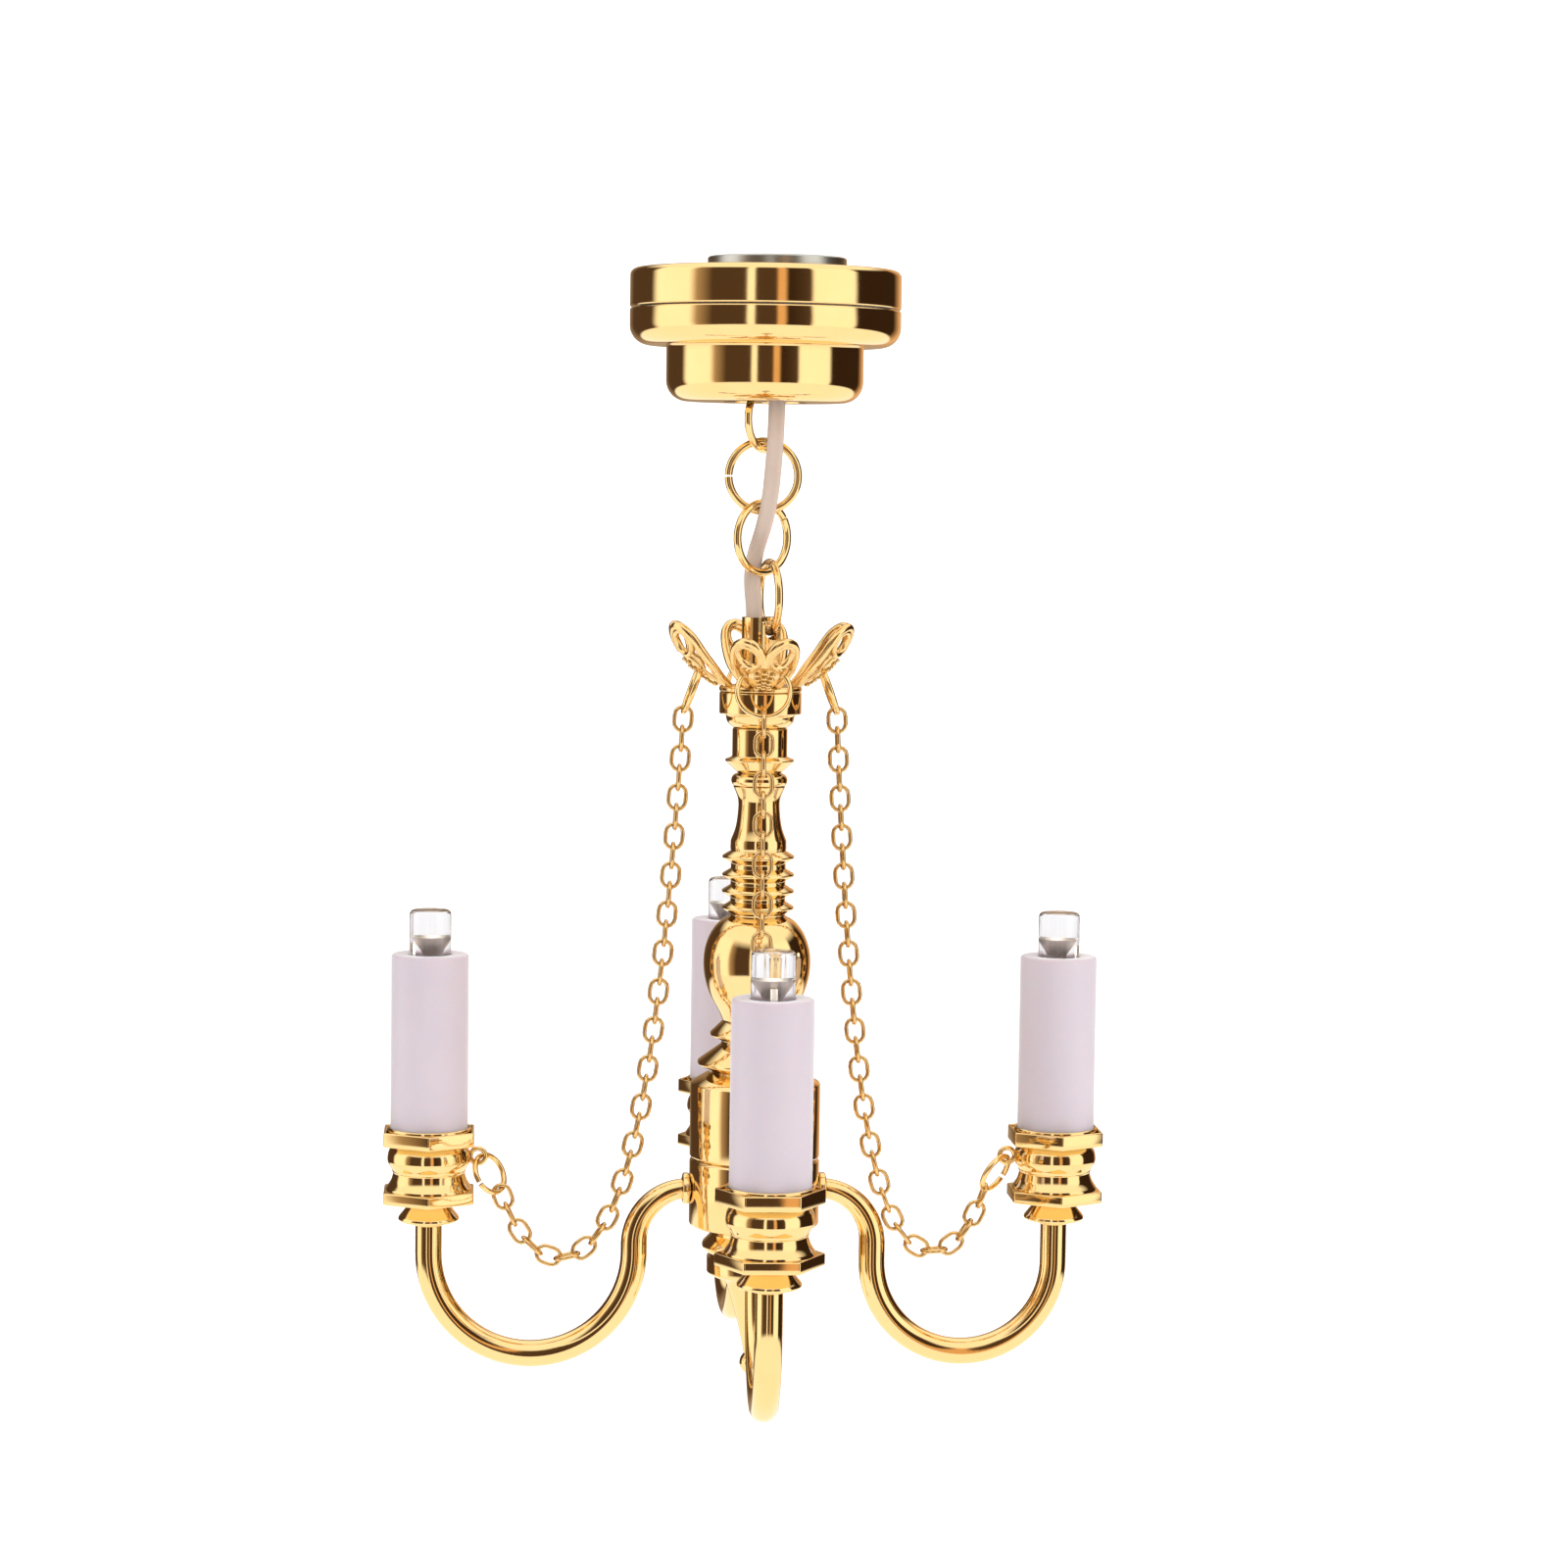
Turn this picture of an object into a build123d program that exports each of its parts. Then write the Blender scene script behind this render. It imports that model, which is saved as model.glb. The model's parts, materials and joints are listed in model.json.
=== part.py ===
"""Dolls house chandelier: a battery canopy, a short ring hanger and a four-arm gold-plated lamp.

Millimetres, +Z up. The origin is the centre line of the lamp at the top face of the ceiling magnet, so
everything hangs below z = 0. The four arms lie along +X, +Y, -X and -Y.
"""
from build123d import *
import math
import os

# ---- driving dimensions -------------------------------------------------------------------------
RUN_GAP = 0.05           # clearance of a turning or sliding fit
SEAM = 0.1               # open seam between the canopy's two halves

MAGNET_R, MAGNET_T, MAGNET_SHIFT = 5.0, 0.9, 0.8
COVER_R, COVER_WALL, COVER_H = 9.75, 0.7, 2.75
BASE_H, BASE_EDGE_R = 2.6, 1.4
STEP_R, STEP_H, STEP_EDGE_R, STEP_WALL = 7.1, 4.0, 1.5, 0.8
BASE_FLOOR = 1.0
LEAD_HOLE_R = 3.1
CELL_R, CELL_T = 8.0, 3.2
TRAY_FLOOR = 0.5
CONTACT_T = 0.2

BAR_R, BAR_LEN, BAR_Z = 0.25, 8.4, -9.8
EYE_TURN = 55.0          # turn of the eye's plane from the front plane, degrees
EYE_R, EYE_WIRE_R = 2.225, 0.275
RING_R, RING_WIRE_R, RING_GAP_DEG = 2.515, 0.285, 8.0
RING_TURNS = (0.0, 40.0, -78.0)
RING_GAP_AT = (180.0, 35.0, 70.0)
RING_SLACK = 0.03
RING_3_X, RING_3_LIFT = 0.55, 0.16

LEAD_W, LEAD_T = 1.2, 0.6
LEAD_ROUTE = [
    (0.80, -1.55, -9.95),
    (0.76, -1.52, -12.4),
    (0.62, -1.30, -14.9),
    (0.42, -1.12, -17.3),
    (0.02, -0.56, -19.4),
    (-0.50, 0.52, -21.2),
    (-0.70, 0.92, -23.1),
    (-0.50, 0.06, -25.4),
    (-0.50, 0.0, -27.6),
    (-0.14, 0.0, -30.6),
    (0.0, 0.0, -34.5),
    (0.05, 0.0, -40.0),
    (-0.05, 0.0, -47.0),
    (0.05, 0.0, -54.0),
    (0.0, 0.0, -61.0),
]

TUBE_TOP, TUBE_BOTTOM, TUBE_R, TUBE_BORE_R = -25.8, -31.2, 1.42, 1.2
TUBE_HOLE_R = 0.7
CROWN_DISC_R, CROWN_T = 3.0, 0.4
PETAL_ROOT, PETAL_TIP = (2.7, -31.0), (6.85, -26.3)
PETAL_SAG = 0.75         # how far the petal bows below its chord
COLLAR_TOP = -31.2
STEM_BORE_R = 1.25
CENTRE_TUBE_R, CENTRE_TUBE_BORE_R = 1.2, 0.92
CENTRE_TUBE_TOP, CENTRE_TUBE_BOTTOM = -30.2, -63.0

HUB_TOP, HUB_SEAM, HUB_BOTTOM, HUB_R, HUB_WALL = -59.0, -65.3, -70.3, 4.75, 0.7
TIP_R, TIP_NECK_R, TIP_Z = 0.9, 0.6, -80.55
ARM_EXIT_Z, ARM_START_R = -67.6, 4.0
ARM_BEND_R, ARM_BEND_START = 4.0, 4.75
ARM_U_LOW, ARM_TOP_Z = -79.8, -69.6
ARM_ROOT_R, ARM_TUBE_R, ARM_BORE_R = 0.72, 0.96, 0.42
WIRE_R = 0.3

HEX_FLATS, HEX_PLATE_T = 6.5, 0.85
SLEEVE_R, SLEEVE_WALL, SLEEVE_TOP, SLEEVE_BOTTOM = 2.8, 0.5, -50.4, -63.6
LED_R, LED_TOP, LED_FLANGE_R = 1.5, -47.2, 1.75

TOP_RING_R, TOP_RING_WIRE_R = 1.9, 0.195
TOP_RING_AT, TOP_RING_LEAN = (4.92, -30.92), 20.0
END_RING_R, END_RING_WIRE_R = 1.45, 0.2
END_RING_TURN, END_RING_LEAN = 55.0, -33.0
LOOP_IN, LOOP_Z, LOOP_R, LOOP_WIRE_R, LOOP_SLACK = 3.55, -65.2, 0.55, 0.18, 0.06
LINK_LEN, LINK_WIDTH, LINK_WIRE_R, LINK_SLACK, END_SLACK = 2.085, 1.54, 0.15, 0.06, 0.03

# the lamp is bent up by hand: each side's turn, the reach of its candle and its number of chain links
SIDES = {
    "right": (0.0, 22.2, 34),
    "back": (91.6, 22.8, 34),
    "left": (180.0, 23.7, 35),
    "front": (268.4, 22.8, 34),
}

os.makedirs("parts", exist_ok=True)


# ---- helpers ------------------------------------------------------------------------------------
def save(name, shape):
    """Write one named piece."""
    shape.label = name
    export_step(shape, f"parts/{name}.step")


def turned(*outline):
    """A piece turned about the Z axis from its closed (radius, z) outline."""
    return revolve(make_face(Plane.XZ * Polyline(*outline, close=True)), Axis.Z)


def turned_curves(*curves):
    """A piece turned about the Z axis from the curves that close its (radius, z) outline."""
    return revolve(make_face([edge for curve in curves for edge in (Plane.XZ * curve).edges()]), Axis.Z)


def disc(radius, top, bottom):
    """A plain round disc or plug between two heights."""
    return Pos(0, 0, (top + bottom) / 2) * Cylinder(radius, top - bottom)


def tube(outer, inner, top, bottom):
    """A plain round tube between two heights."""
    return disc(outer, top, bottom) - disc(inner, top + 1, bottom - 1)


def wire_ring(centre, normal, start, radius, wire_radius, gap_degrees=0.0):
    """A round wire ring with its cut ends at the start direction."""
    plane = Plane(origin=centre, x_dir=start, z_dir=normal)
    return plane * (Rot(0, 0, gap_degrees / 2) * Torus(radius, wire_radius, major_angle=360 - gap_degrees))


def hex_plate(top, bottom):
    """A hexagonal plate with softened edges, one flat facing outward along +X."""
    prism = extrude(RegularPolygon(HEX_FLATS / 2, 6, major_radius=False, rotation=30), top - bottom)
    return Pos(0, 0, bottom) * chamfer(prism.edges(), 0.12)


def at_side(shape, side, out=0.0):
    """Move a piece out along +X and turn it to its side of the lamp."""
    return Rot(0, 0, SIDES[side][0]) * Pos(out, 0, 0) * shape


# ---- battery canopy -----------------------------------------------------------------------------
cover_top = -MAGNET_T
cover_rim = cover_top - COVER_H
base_rim = cover_rim - SEAM
base_bottom = base_rim - BASE_H
step_bottom = base_bottom - STEP_H
cover_ceiling = cover_top - COVER_WALL
cell_top = cover_ceiling - 0.3
cell_bottom = cell_top - CELL_T
tray_bottom = cell_bottom - TRAY_FLOOR
tray_r = COVER_R - COVER_WALL - RUN_GAP
floor_top = step_bottom + BASE_FLOOR


def ceiling_magnet():
    magnet = chamfer(disc(MAGNET_R, 0, -MAGNET_T).edges(), 0.1)
    return Pos(MAGNET_SHIFT, 0, 0) * magnet


def canopy_cover():
    shell = disc(COVER_R, cover_top, cover_rim)
    shell = fillet(shell.edges().group_by(Axis.Z)[-1], 0.35)
    return shell - disc(COVER_R - COVER_WALL, cover_ceiling, cover_rim - 1)


def canopy_base():
    rim = disc(COVER_R, base_rim, base_bottom)
    rim = fillet(rim.edges().group_by(Axis.Z)[0], BASE_EDGE_R)
    step = disc(STEP_R, base_bottom + 0.5, step_bottom)
    step = fillet(step.edges().group_by(Axis.Z)[0], STEP_EDGE_R)
    body = rim + step
    body -= disc(COVER_R - COVER_WALL, base_rim + 1, tray_bottom - RUN_GAP)
    body -= disc(STEP_R - STEP_WALL, base_rim + 1, floor_top)
    body -= disc(LEAD_HOLE_R, base_rim, step_bottom - 1)
    groove = Pos(0, 0, BAR_Z + 0.5) * Box(BAR_LEN + 0.04, 2 * BAR_R + 0.02, 1.0 + 2 * BAR_R + 0.01)
    return body - Rot(0, 0, EYE_TURN - 90) * groove


def battery_tray():
    tray = tube(tray_r, CELL_R + RUN_GAP, cell_top, tray_bottom)
    floor = tube(CELL_R + 0.3, CELL_R - 1.6, cell_bottom, tray_bottom)
    return tray + floor


def button_cell():
    can = chamfer(disc(CELL_R, cell_top, cell_bottom).edges(), 0.2)
    return can - tube(CELL_R - 0.9, CELL_R - 1.2, cell_bottom + 0.15, cell_bottom - 1)


def contact_top():
    """A pressed leaf with two feet between the cover and the cell."""
    height = cover_ceiling - cell_top
    leaf = Pos(0, 0, cover_ceiling - CONTACT_T / 2) * Box(9.0, 2.4, CONTACT_T)
    feet = [Pos(x, 0, cell_top + height / 2) * Box(1.2, 2.4, height) for x in (-3.9, 3.9)]
    return leaf + feet


def contact_base():
    """The lower contact: a flat leaf on a post that stands on the floor beside the lead's hole."""
    leaf_top = cell_bottom - 0.05
    leaf = Pos(2.2, 0, leaf_top - CONTACT_T / 2) * Box(6.6, 2.2, CONTACT_T)
    post = Pos(4.9, 0, (leaf_top + floor_top) / 2) * Box(1.2, 2.2, leaf_top - floor_top)
    return Rot(0, 0, 180) * (leaf + post)


save("ceiling_magnet", ceiling_magnet())
save("canopy_cover", canopy_cover())
save("canopy_base", canopy_base())
save("battery_tray", battery_tray())
save("button_cell", button_cell())
save("contact_top", contact_top())
save("contact_base", contact_base())

# ---- ring hanger --------------------------------------------------------------------------------
eye_angle = math.radians(EYE_TURN)
eye_along = Vector(math.cos(eye_angle), math.sin(eye_angle), 0)
eye_normal = Vector(math.sin(eye_angle), -math.cos(eye_angle), 0)
eye_z = BAR_Z + BAR_R + EYE_WIRE_R - EYE_R


def hanger_bar():
    return Plane(origin=(0, 0, BAR_Z), z_dir=eye_normal) * Cylinder(BAR_R, BAR_LEN)


def hanger_eye():
    return wire_ring((0, 0, eye_z), eye_normal, (0, 0, 1), EYE_R, EYE_WIRE_R)


def jump_rings():
    """The three rings, each hung on the bottom of the one above."""
    wire_above = eye_z - EYE_R
    radius_above = EYE_WIRE_R
    rings = []
    for index, turn in enumerate(RING_TURNS):
        top = wire_above + radius_above + RING_WIRE_R + RING_SLACK
        z = top - RING_R
        x = RING_3_X if index == 2 else 0.0
        z += RING_3_LIFT if index == 2 else 0.0
        angle = math.radians(turn)
        normal = Vector(math.sin(angle), -math.cos(angle), 0)
        along = Vector(math.cos(angle), math.sin(angle), 0)
        cut = math.radians(RING_GAP_AT[index])
        start = along * math.cos(cut) + Vector(0, 0, 1) * math.sin(cut)
        rings.append(wire_ring((x, 0, z), normal, start, RING_R, RING_WIRE_R, RING_GAP_DEG))
        wire_above = z - RING_R
        radius_above = RING_WIRE_R
    return rings, wire_above


save("hanger_bar", hanger_bar())
save("hanger_eye", hanger_eye())
rings, ring_3_wire = jump_rings()
for number, ring in enumerate(rings, start=1):
    save(f"jump_ring_{number}", ring)


def lead():
    """The flat twin lead, from the canopy's hole to the hub, in runs joined by tangent arcs."""
    points = [Vector(*p) for p in LEAD_ROUTE]
    radii = []
    for before, here, after in zip(points, points[1:], points[2:]):
        first, second = here - before, after - here
        turn = math.radians(first.get_angle(second))
        radii.append(0.45 * min(first.length, second.length) / math.tan(turn / 2))
    path = FilletPolyline(*points, radius=radii)
    section = Plane(origin=points[0], z_dir=path % 0, x_dir=(1, 0, 0)) * Rectangle(LEAD_W, LEAD_T)
    solid = sweep(section, path=path)
    print("lead length", round(path.length, 2), "radii", [round(r, 1) for r in radii])
    print("lead volume", round(solid.volume, 3), "section x length", round(path.length * LEAD_W * LEAD_T, 3))
    return solid


save("lead", lead())


# ---- crown and stem -----------------------------------------------------------------------------
def top_tube():
    """The tube that the lowest ring passes through, from wall to wall."""
    ring_bow = RING_R - math.sqrt(RING_R**2 - TUBE_R**2)
    bore_z = ring_3_wire + RING_WIRE_R + 4 * RING_SLACK + ring_bow - TUBE_HOLE_R
    angle = math.radians(RING_TURNS[2])
    hole = Plane(origin=(RING_3_X, 0, bore_z), z_dir=(math.cos(angle), math.sin(angle), 0))
    body = tube(TUBE_R, TUBE_BORE_R, TUBE_TOP, TUBE_BOTTOM)
    return body - hole * Cylinder(TUBE_HOLE_R, 6)


def petal():
    """One pierced heart-shaped petal, bowed upward, rising along +X."""
    root, tip = Vector(PETAL_ROOT[0], 0, PETAL_ROOT[1]), Vector(PETAL_TIP[0], 0, PETAL_TIP[1])
    rise = (tip - root).normalized()
    outward = Vector(rise.Z, 0, -rise.X)
    middle = (root + tip) / 2 + outward * PETAL_SAG
    lift = outward * -CROWN_T
    under = ThreePointArc(root, middle, tip)
    over = ThreePointArc(root + lift, middle + lift, tip + lift)
    ribbon = make_face([under, over, Line(root, root + lift), Line(tip, tip + lift)])
    band = extrude(ribbon, 3.0, dir=(0, 1, 0), both=True)
    length = (tip - root).length
    plane = Plane(origin=root, x_dir=rise, z_dir=outward)
    lobes = Pos(length - 1.45, 1.13) * Circle(1.35) + Pos(length - 1.45, -1.13) * Circle(1.35)
    throat = [(-0.2, -1.0), (0.4, -1.15), (1.6, -2.1), (length - 1.9, -2.44), (length - 1.45, -1.13)]
    heart = lobes + make_face(Polyline(*throat, *[(u, -v) for u, v in reversed(throat)], close=True))
    for side in (1, -1):
        heart -= Pos(length - 1.45, side * 1.18) * Circle(0.85)
        heart -= Pos(1.9, side * 1.27) * Circle(0.6)
        heart -= Pos(2.95, side * 1.6) * Circle(0.34)
        heart -= Pos(2.65, side * 0.62) * Circle(0.3)
        heart -= Pos(1.0, side * 0.55) * Circle(0.24)
    heart -= Pos(3.55, 0) * Circle(0.32)
    return band & (plane * extrude(heart, 3.0, both=True))


def crown():
    body = disc(CROWN_DISC_R, COLLAR_TOP + CROWN_T, COLLAR_TOP)
    one = petal()
    for turn, _, _ in SIDES.values():
        body += Rot(0, 0, turn) * one
    return body - disc(TUBE_R + 0.02, -25, -35)


def crown_collar():
    b = STEM_BORE_R
    return turned((b, COLLAR_TOP), (2.975, COLLAR_TOP), (2.975, -32.8), (2.5, -33.0), (2.3, -33.4),
                  (1.85, -33.8), (b, -33.8))


def neck_bead():
    b = STEM_BORE_R
    bead = ThreePointArc((1.75, -37.2), (2.05, -37.6), (1.75, -38.05))
    sides = Polyline((1.75, -38.05), (b, -38.05), (b, -33.8), (2.0, -33.8), (2.0, -35.95), (2.55, -36.15),
                     (1.5, -37.2), (1.75, -37.2))
    return turned_curves(bead, sides)


def vase():
    """A waisted vase with four sharp flanges under it."""
    b = STEM_BORE_R
    waist = Spline((1.9, -38.05), (1.515, -39.7), (1.675, -41.0), (2.05, -42.1))
    points = [(2.05, -42.1), (2.05, -42.6)]
    for edge in (-43.2, -44.5, -45.7, -46.9):
        points += [(2.0, edge + 0.45), (2.62, edge + 0.07), (2.62, edge - 0.07), (2.0, edge - 0.45)]
    points += [(2.0, -47.5), (b, -47.5), (b, -38.05), (1.9, -38.05)]
    return turned_curves(waist, Polyline(*points))


def ball():
    """A round bead drawn out to a cone below."""
    b = STEM_BORE_R
    upper = ThreePointArc((2.0, -47.5), (3.37, -48.75), (3.9, -51.0))
    lower = Spline((3.9, -51.0), (3.55, -52.9), (2.75, -54.4), (2.45, -55.2),
                   tangents=((0, -1), (-0.2, -1)))
    sides = Polyline((2.45, -55.2), (b, -55.2), (b, -47.5), (2.0, -47.5))
    return turned_curves(upper, lower, sides)


def skirt():
    """Two flared tiers between the ball and the hub."""
    b = STEM_BORE_R
    return turned((b, -55.2), (2.45, -55.2), (3.35, -56.1), (3.35, -56.3), (2.5, -56.7), (2.7, -57.0),
                  (4.25, -58.2), (4.25, -58.4), (3.2, -58.9), (3.2, HUB_TOP), (b, HUB_TOP))


def hub_upper():
    inner, top_wall = HUB_R - HUB_WALL, -60.6
    return turned((STEM_BORE_R, HUB_TOP), (3.45, HUB_TOP), (HUB_R, -59.8), (HUB_R, HUB_SEAM + 0.15),
                  (HUB_R - 0.15, HUB_SEAM), (inner, HUB_SEAM), (inner, top_wall), (STEM_BORE_R, top_wall))


def hub_lower():
    inner, floor = HUB_R - HUB_WALL, -69.5
    cup = turned((STEM_BORE_R, floor), (inner, floor), (inner, HUB_SEAM), (HUB_R - 0.15, HUB_SEAM),
                 (HUB_R, HUB_SEAM - 0.15), (HUB_R, HUB_BOTTOM + 0.2), (HUB_R - 0.3, HUB_BOTTOM),
                 (3.1, HUB_BOTTOM), (STEM_BORE_R, HUB_BOTTOM))
    hole = Pos(5, 0, ARM_EXIT_Z) * Rot(0, 90, 0) * Cylinder(ARM_ROOT_R, 4)
    for side in SIDES:
        cup -= at_side(hole, side)
    return cup


def finial():
    """The turned drop: a stud into the hub, a flange, a collar, a long cone and a small ball."""
    neck_z = TIP_Z + math.sqrt(TIP_R**2 - TIP_NECK_R**2)
    cone = Spline((2.25, -74.05), (1.55, -76.0), (0.95, -78.2), (TIP_NECK_R, neck_z))
    tip = ThreePointArc((TIP_NECK_R, neck_z), (TIP_R, TIP_Z), (0.0, TIP_Z - TIP_R))
    sides = Polyline((0, TIP_Z - TIP_R), (0, -68.4), (1.2, -68.4), (1.2, HUB_BOTTOM), (3.1, HUB_BOTTOM),
                     (3.1, -70.9), (3.75, -71.6), (3.75, -71.9), (3.2, -72.4), (3.4, -72.6),
                     (3.4, -73.75), (3.1, -74.05), (2.25, -74.05))
    return turned_curves(cone, tip, sides)


def hub_nut():
    """The hexagonal nut on the finial's stud inside the hub."""
    nut = extrude(RegularPolygon(2.0, 6, major_radius=False), 0.9)
    return Pos(0, 0, -69.45) * nut - disc(1.22, -68, -70)


save("top_tube", top_tube())
save("crown", crown())
save("crown_collar", crown_collar())
save("neck_bead", neck_bead())
save("vase", vase())
save("ball", ball())
save("skirt", skirt())
save("hub_upper", hub_upper())
save("hub_lower", hub_lower())
save("hub_nut", hub_nut())
save("finial", finial())
save("centre_tube", tube(CENTRE_TUBE_R, CENTRE_TUBE_BORE_R, CENTRE_TUBE_TOP, CENTRE_TUBE_BOTTOM))

# ---- arms, candles and lights -------------------------------------------------------------------
bend_z = ARM_EXIT_Z - ARM_BEND_R
bend_r = ARM_BEND_START + ARM_BEND_R


def arm_bend():
    """The bend that turns the arm down, from the hub's side."""
    half = ARM_BEND_R * math.sin(math.pi / 4)
    middle = (ARM_BEND_START + half, bend_z + half)
    return Plane.XZ * ThreePointArc((ARM_BEND_START, ARM_EXIT_Z), middle, (bend_r, bend_z))


def arm_rise(reach, top):
    """The rest of the arm: a short drop, the U and the rise to the candle."""
    u_r = (reach - bend_r) / 2
    u_z = ARM_U_LOW + u_r
    return Plane.XZ * (Line((bend_r, bend_z), (bend_r, u_z))
                       + ThreePointArc((bend_r, u_z), (bend_r + u_r, ARM_U_LOW), (reach, u_z))
                       + Line((reach, u_z), (reach, top)))


def arm_line(reach, top):
    """The whole centre line."""
    stub = Plane.XZ * Line((ARM_START_R, ARM_EXIT_Z), (ARM_BEND_START, ARM_EXIT_Z))
    return stub + arm_bend() + arm_rise(reach, top)


def arm(reach):
    start = Plane(origin=(ARM_BEND_START, 0, ARM_EXIT_Z), z_dir=(1, 0, 0))
    end = Plane(origin=(bend_r, 0, bend_z), z_dir=(0, 0, -1))
    root = Plane(origin=(ARM_START_R, 0, ARM_EXIT_Z), z_dir=(1, 0, 0))
    stub = extrude(root * Circle(ARM_ROOT_R), ARM_BEND_START - ARM_START_R)
    bend = sweep([start * Circle(ARM_ROOT_R), end * Circle(ARM_TUBE_R)], path=arm_bend(), multisection=True)
    rise = sweep(end * Circle(ARM_TUBE_R), path=arm_rise(reach, ARM_TOP_Z))
    collar = Pos(HUB_R, 0, ARM_EXIT_Z) * Rot(0, 90, 0) * fillet(
        (Pos(0, 0, 0.3) * Cylinder(1.15, 0.6)).edges().group_by(Axis.Z)[-1], 0.2)
    bore = sweep(Plane(origin=(ARM_START_R, 0, ARM_EXIT_Z), z_dir=(1, 0, 0)) * Circle(ARM_BORE_R),
                 path=arm_line(reach, ARM_TOP_Z))
    return stub + bend + rise + collar - bore


def bell():
    """The small flared bell on the arm's end, under the cup."""
    r = ARM_TUBE_R
    return turned((r, -70.15), (1.9, -70.0), (2.2, -69.78), (2.15, -69.6), (1.35, -68.6), (1.35, -68.45),
                  (0.5, -68.45), (0.5, ARM_TOP_Z), (r, ARM_TOP_Z))


def candle_cup():
    """Two hexagonal plates with a round bulb between them, and a loop for the swag."""
    bulge = ThreePointArc((2.6, -66.3), (3.0, -65.25), (2.6, -64.2))
    flare = ThreePointArc((3.1, -67.45), (2.74, -66.92), (2.6, -66.3))
    sides = Polyline((2.6, -64.2), (0.5, -64.2), (0.5, -67.6), (3.1, -67.6), (3.1, -67.45))
    bulb = turned_curves(bulge, flare, sides)
    lower = hex_plate(-67.6, -67.6 - HEX_PLATE_T)
    upper = hex_plate(-63.2, -64.25)
    loop = wire_ring((-LOOP_IN, 0, LOOP_Z), (0, 1, 0), (1, 0, 0), LOOP_R, LOOP_WIRE_R)
    cup = bulb + lower + upper + loop
    cup -= disc(SLEEVE_R + 0.02, -63.0, SLEEVE_BOTTOM)
    return cup - disc(0.5, -62, -69)


def candle_sleeve():
    """The hollow candle with a small seat for the light in its top."""
    body = disc(SLEEVE_R, SLEEVE_TOP, SLEEVE_BOTTOM)
    body = fillet(body.edges().group_by(Axis.Z)[-1], 0.15)
    body -= disc(SLEEVE_R - SLEEVE_WALL, SLEEVE_TOP - 0.6, SLEEVE_BOTTOM - 1)
    return body - disc(LED_R + 0.02, SLEEVE_TOP + 1, SLEEVE_TOP - 1)


def led():
    """A flat-topped 3 mm light with the flange that seats under the candle's top."""
    lens = fillet(disc(LED_R, LED_TOP, SLEEVE_TOP - 1.6).edges().group_by(Axis.Z)[-1], 0.3)
    return lens + disc(LED_FLANGE_R, SLEEVE_TOP - 0.6, SLEEVE_TOP - 1.6)


def led_wires():
    """The four lights' wires, through the candles and arms into the hub."""
    start = Plane(origin=(ARM_START_R, 0, ARM_EXIT_Z), z_dir=(1, 0, 0))
    return Compound(children=[
        at_side(sweep(start * Circle(WIRE_R), path=arm_line(reach, SLEEVE_TOP - 1.6)), side)
        for side, (_, reach, _) in SIDES.items()])


for side, (_, reach, _) in SIDES.items():
    save(f"arm_{side}", at_side(arm(reach), side))
    save(f"bell_{side}", at_side(bell(), side, reach))
    save(f"candle_cup_{side}", at_side(candle_cup(), side, reach))
    save(f"candle_sleeve_{side}", at_side(candle_sleeve(), side, reach))
    save(f"led_{side}", at_side(led(), side, reach))
save("led_wires", led_wires())


# ---- swags --------------------------------------------------------------------------------------
def lean_vector(degrees):
    """A downward direction in the XZ plane, leaning outward by so many degrees."""
    angle = math.radians(degrees)
    return Vector(math.sin(angle), 0, -math.cos(angle))


top_down = lean_vector(TOP_RING_LEAN)
end_down = lean_vector(END_RING_LEAN)
end_ring_drop = END_RING_R + LOOP_R - LOOP_WIRE_R - END_RING_WIRE_R - LOOP_SLACK
top_hook = Vector(TOP_RING_AT[0], 0, TOP_RING_AT[1]) + top_down * TOP_RING_R
link_inner = LINK_LEN - 4 * LINK_WIRE_R
pitch = link_inner - LINK_SLACK


def swag_top_ring():
    normal = Vector(top_down.Z, 0, -top_down.X)
    return wire_ring((TOP_RING_AT[0], 0, TOP_RING_AT[1]), normal, -top_down, TOP_RING_R, TOP_RING_WIRE_R, 10)


def end_ring_centre(reach):
    return Vector(reach - LOOP_IN, 0, LOOP_Z) + end_down * end_ring_drop


def swag_end_ring(reach):
    turn = math.radians(END_RING_TURN)
    across = Vector(end_down.Z, 0, -end_down.X)
    normal = Vector(0, 1, 0) * math.cos(turn) + across * math.sin(turn)
    return wire_ring(end_ring_centre(reach), normal, end_down.cross(normal), END_RING_R, END_RING_WIRE_R, 10)


def hanging_curve(start, end, length):
    """The catenary of that length between two points: a function from arc length to a point."""
    across, drop = end.X - start.X, end.Z - start.Z
    target = math.sqrt(length**2 - drop**2)
    low, high = 0.2, 100.0
    while high - low > 1e-9:
        scale = (low + high) / 2
        if 2 * scale * math.sinh(across / (2 * scale)) > target:
            low = scale
        else:
            high = scale
    middle = (start.X + end.X) / 2 - scale * math.atanh(drop / length)
    base = start.Z - scale * math.cosh((start.X - middle) / scale)
    first = scale * math.sinh((start.X - middle) / scale)

    def point(arc):
        x = middle + scale * math.asinh((arc + first) / scale)
        return Vector(x, 0, base + scale * math.cosh((x - middle) / scale))

    return point


def oval_link():
    """One oval link lying along local X, flat in local XY."""
    half, r = (LINK_LEN - LINK_WIDTH) / 2, LINK_WIDTH / 2 - LINK_WIRE_R
    path = (Line((-half, r), (half, r)) + ThreePointArc((half, r), (half + r, 0), (half, -r))
            + Line((half, -r), (-half, -r)) + ThreePointArc((-half, -r), (-half - r, 0), (-half, r)))
    return sweep(Plane(origin=(-half, r, 0), z_dir=(1, 0, 0)) * Circle(LINK_WIRE_R), path=path)


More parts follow.
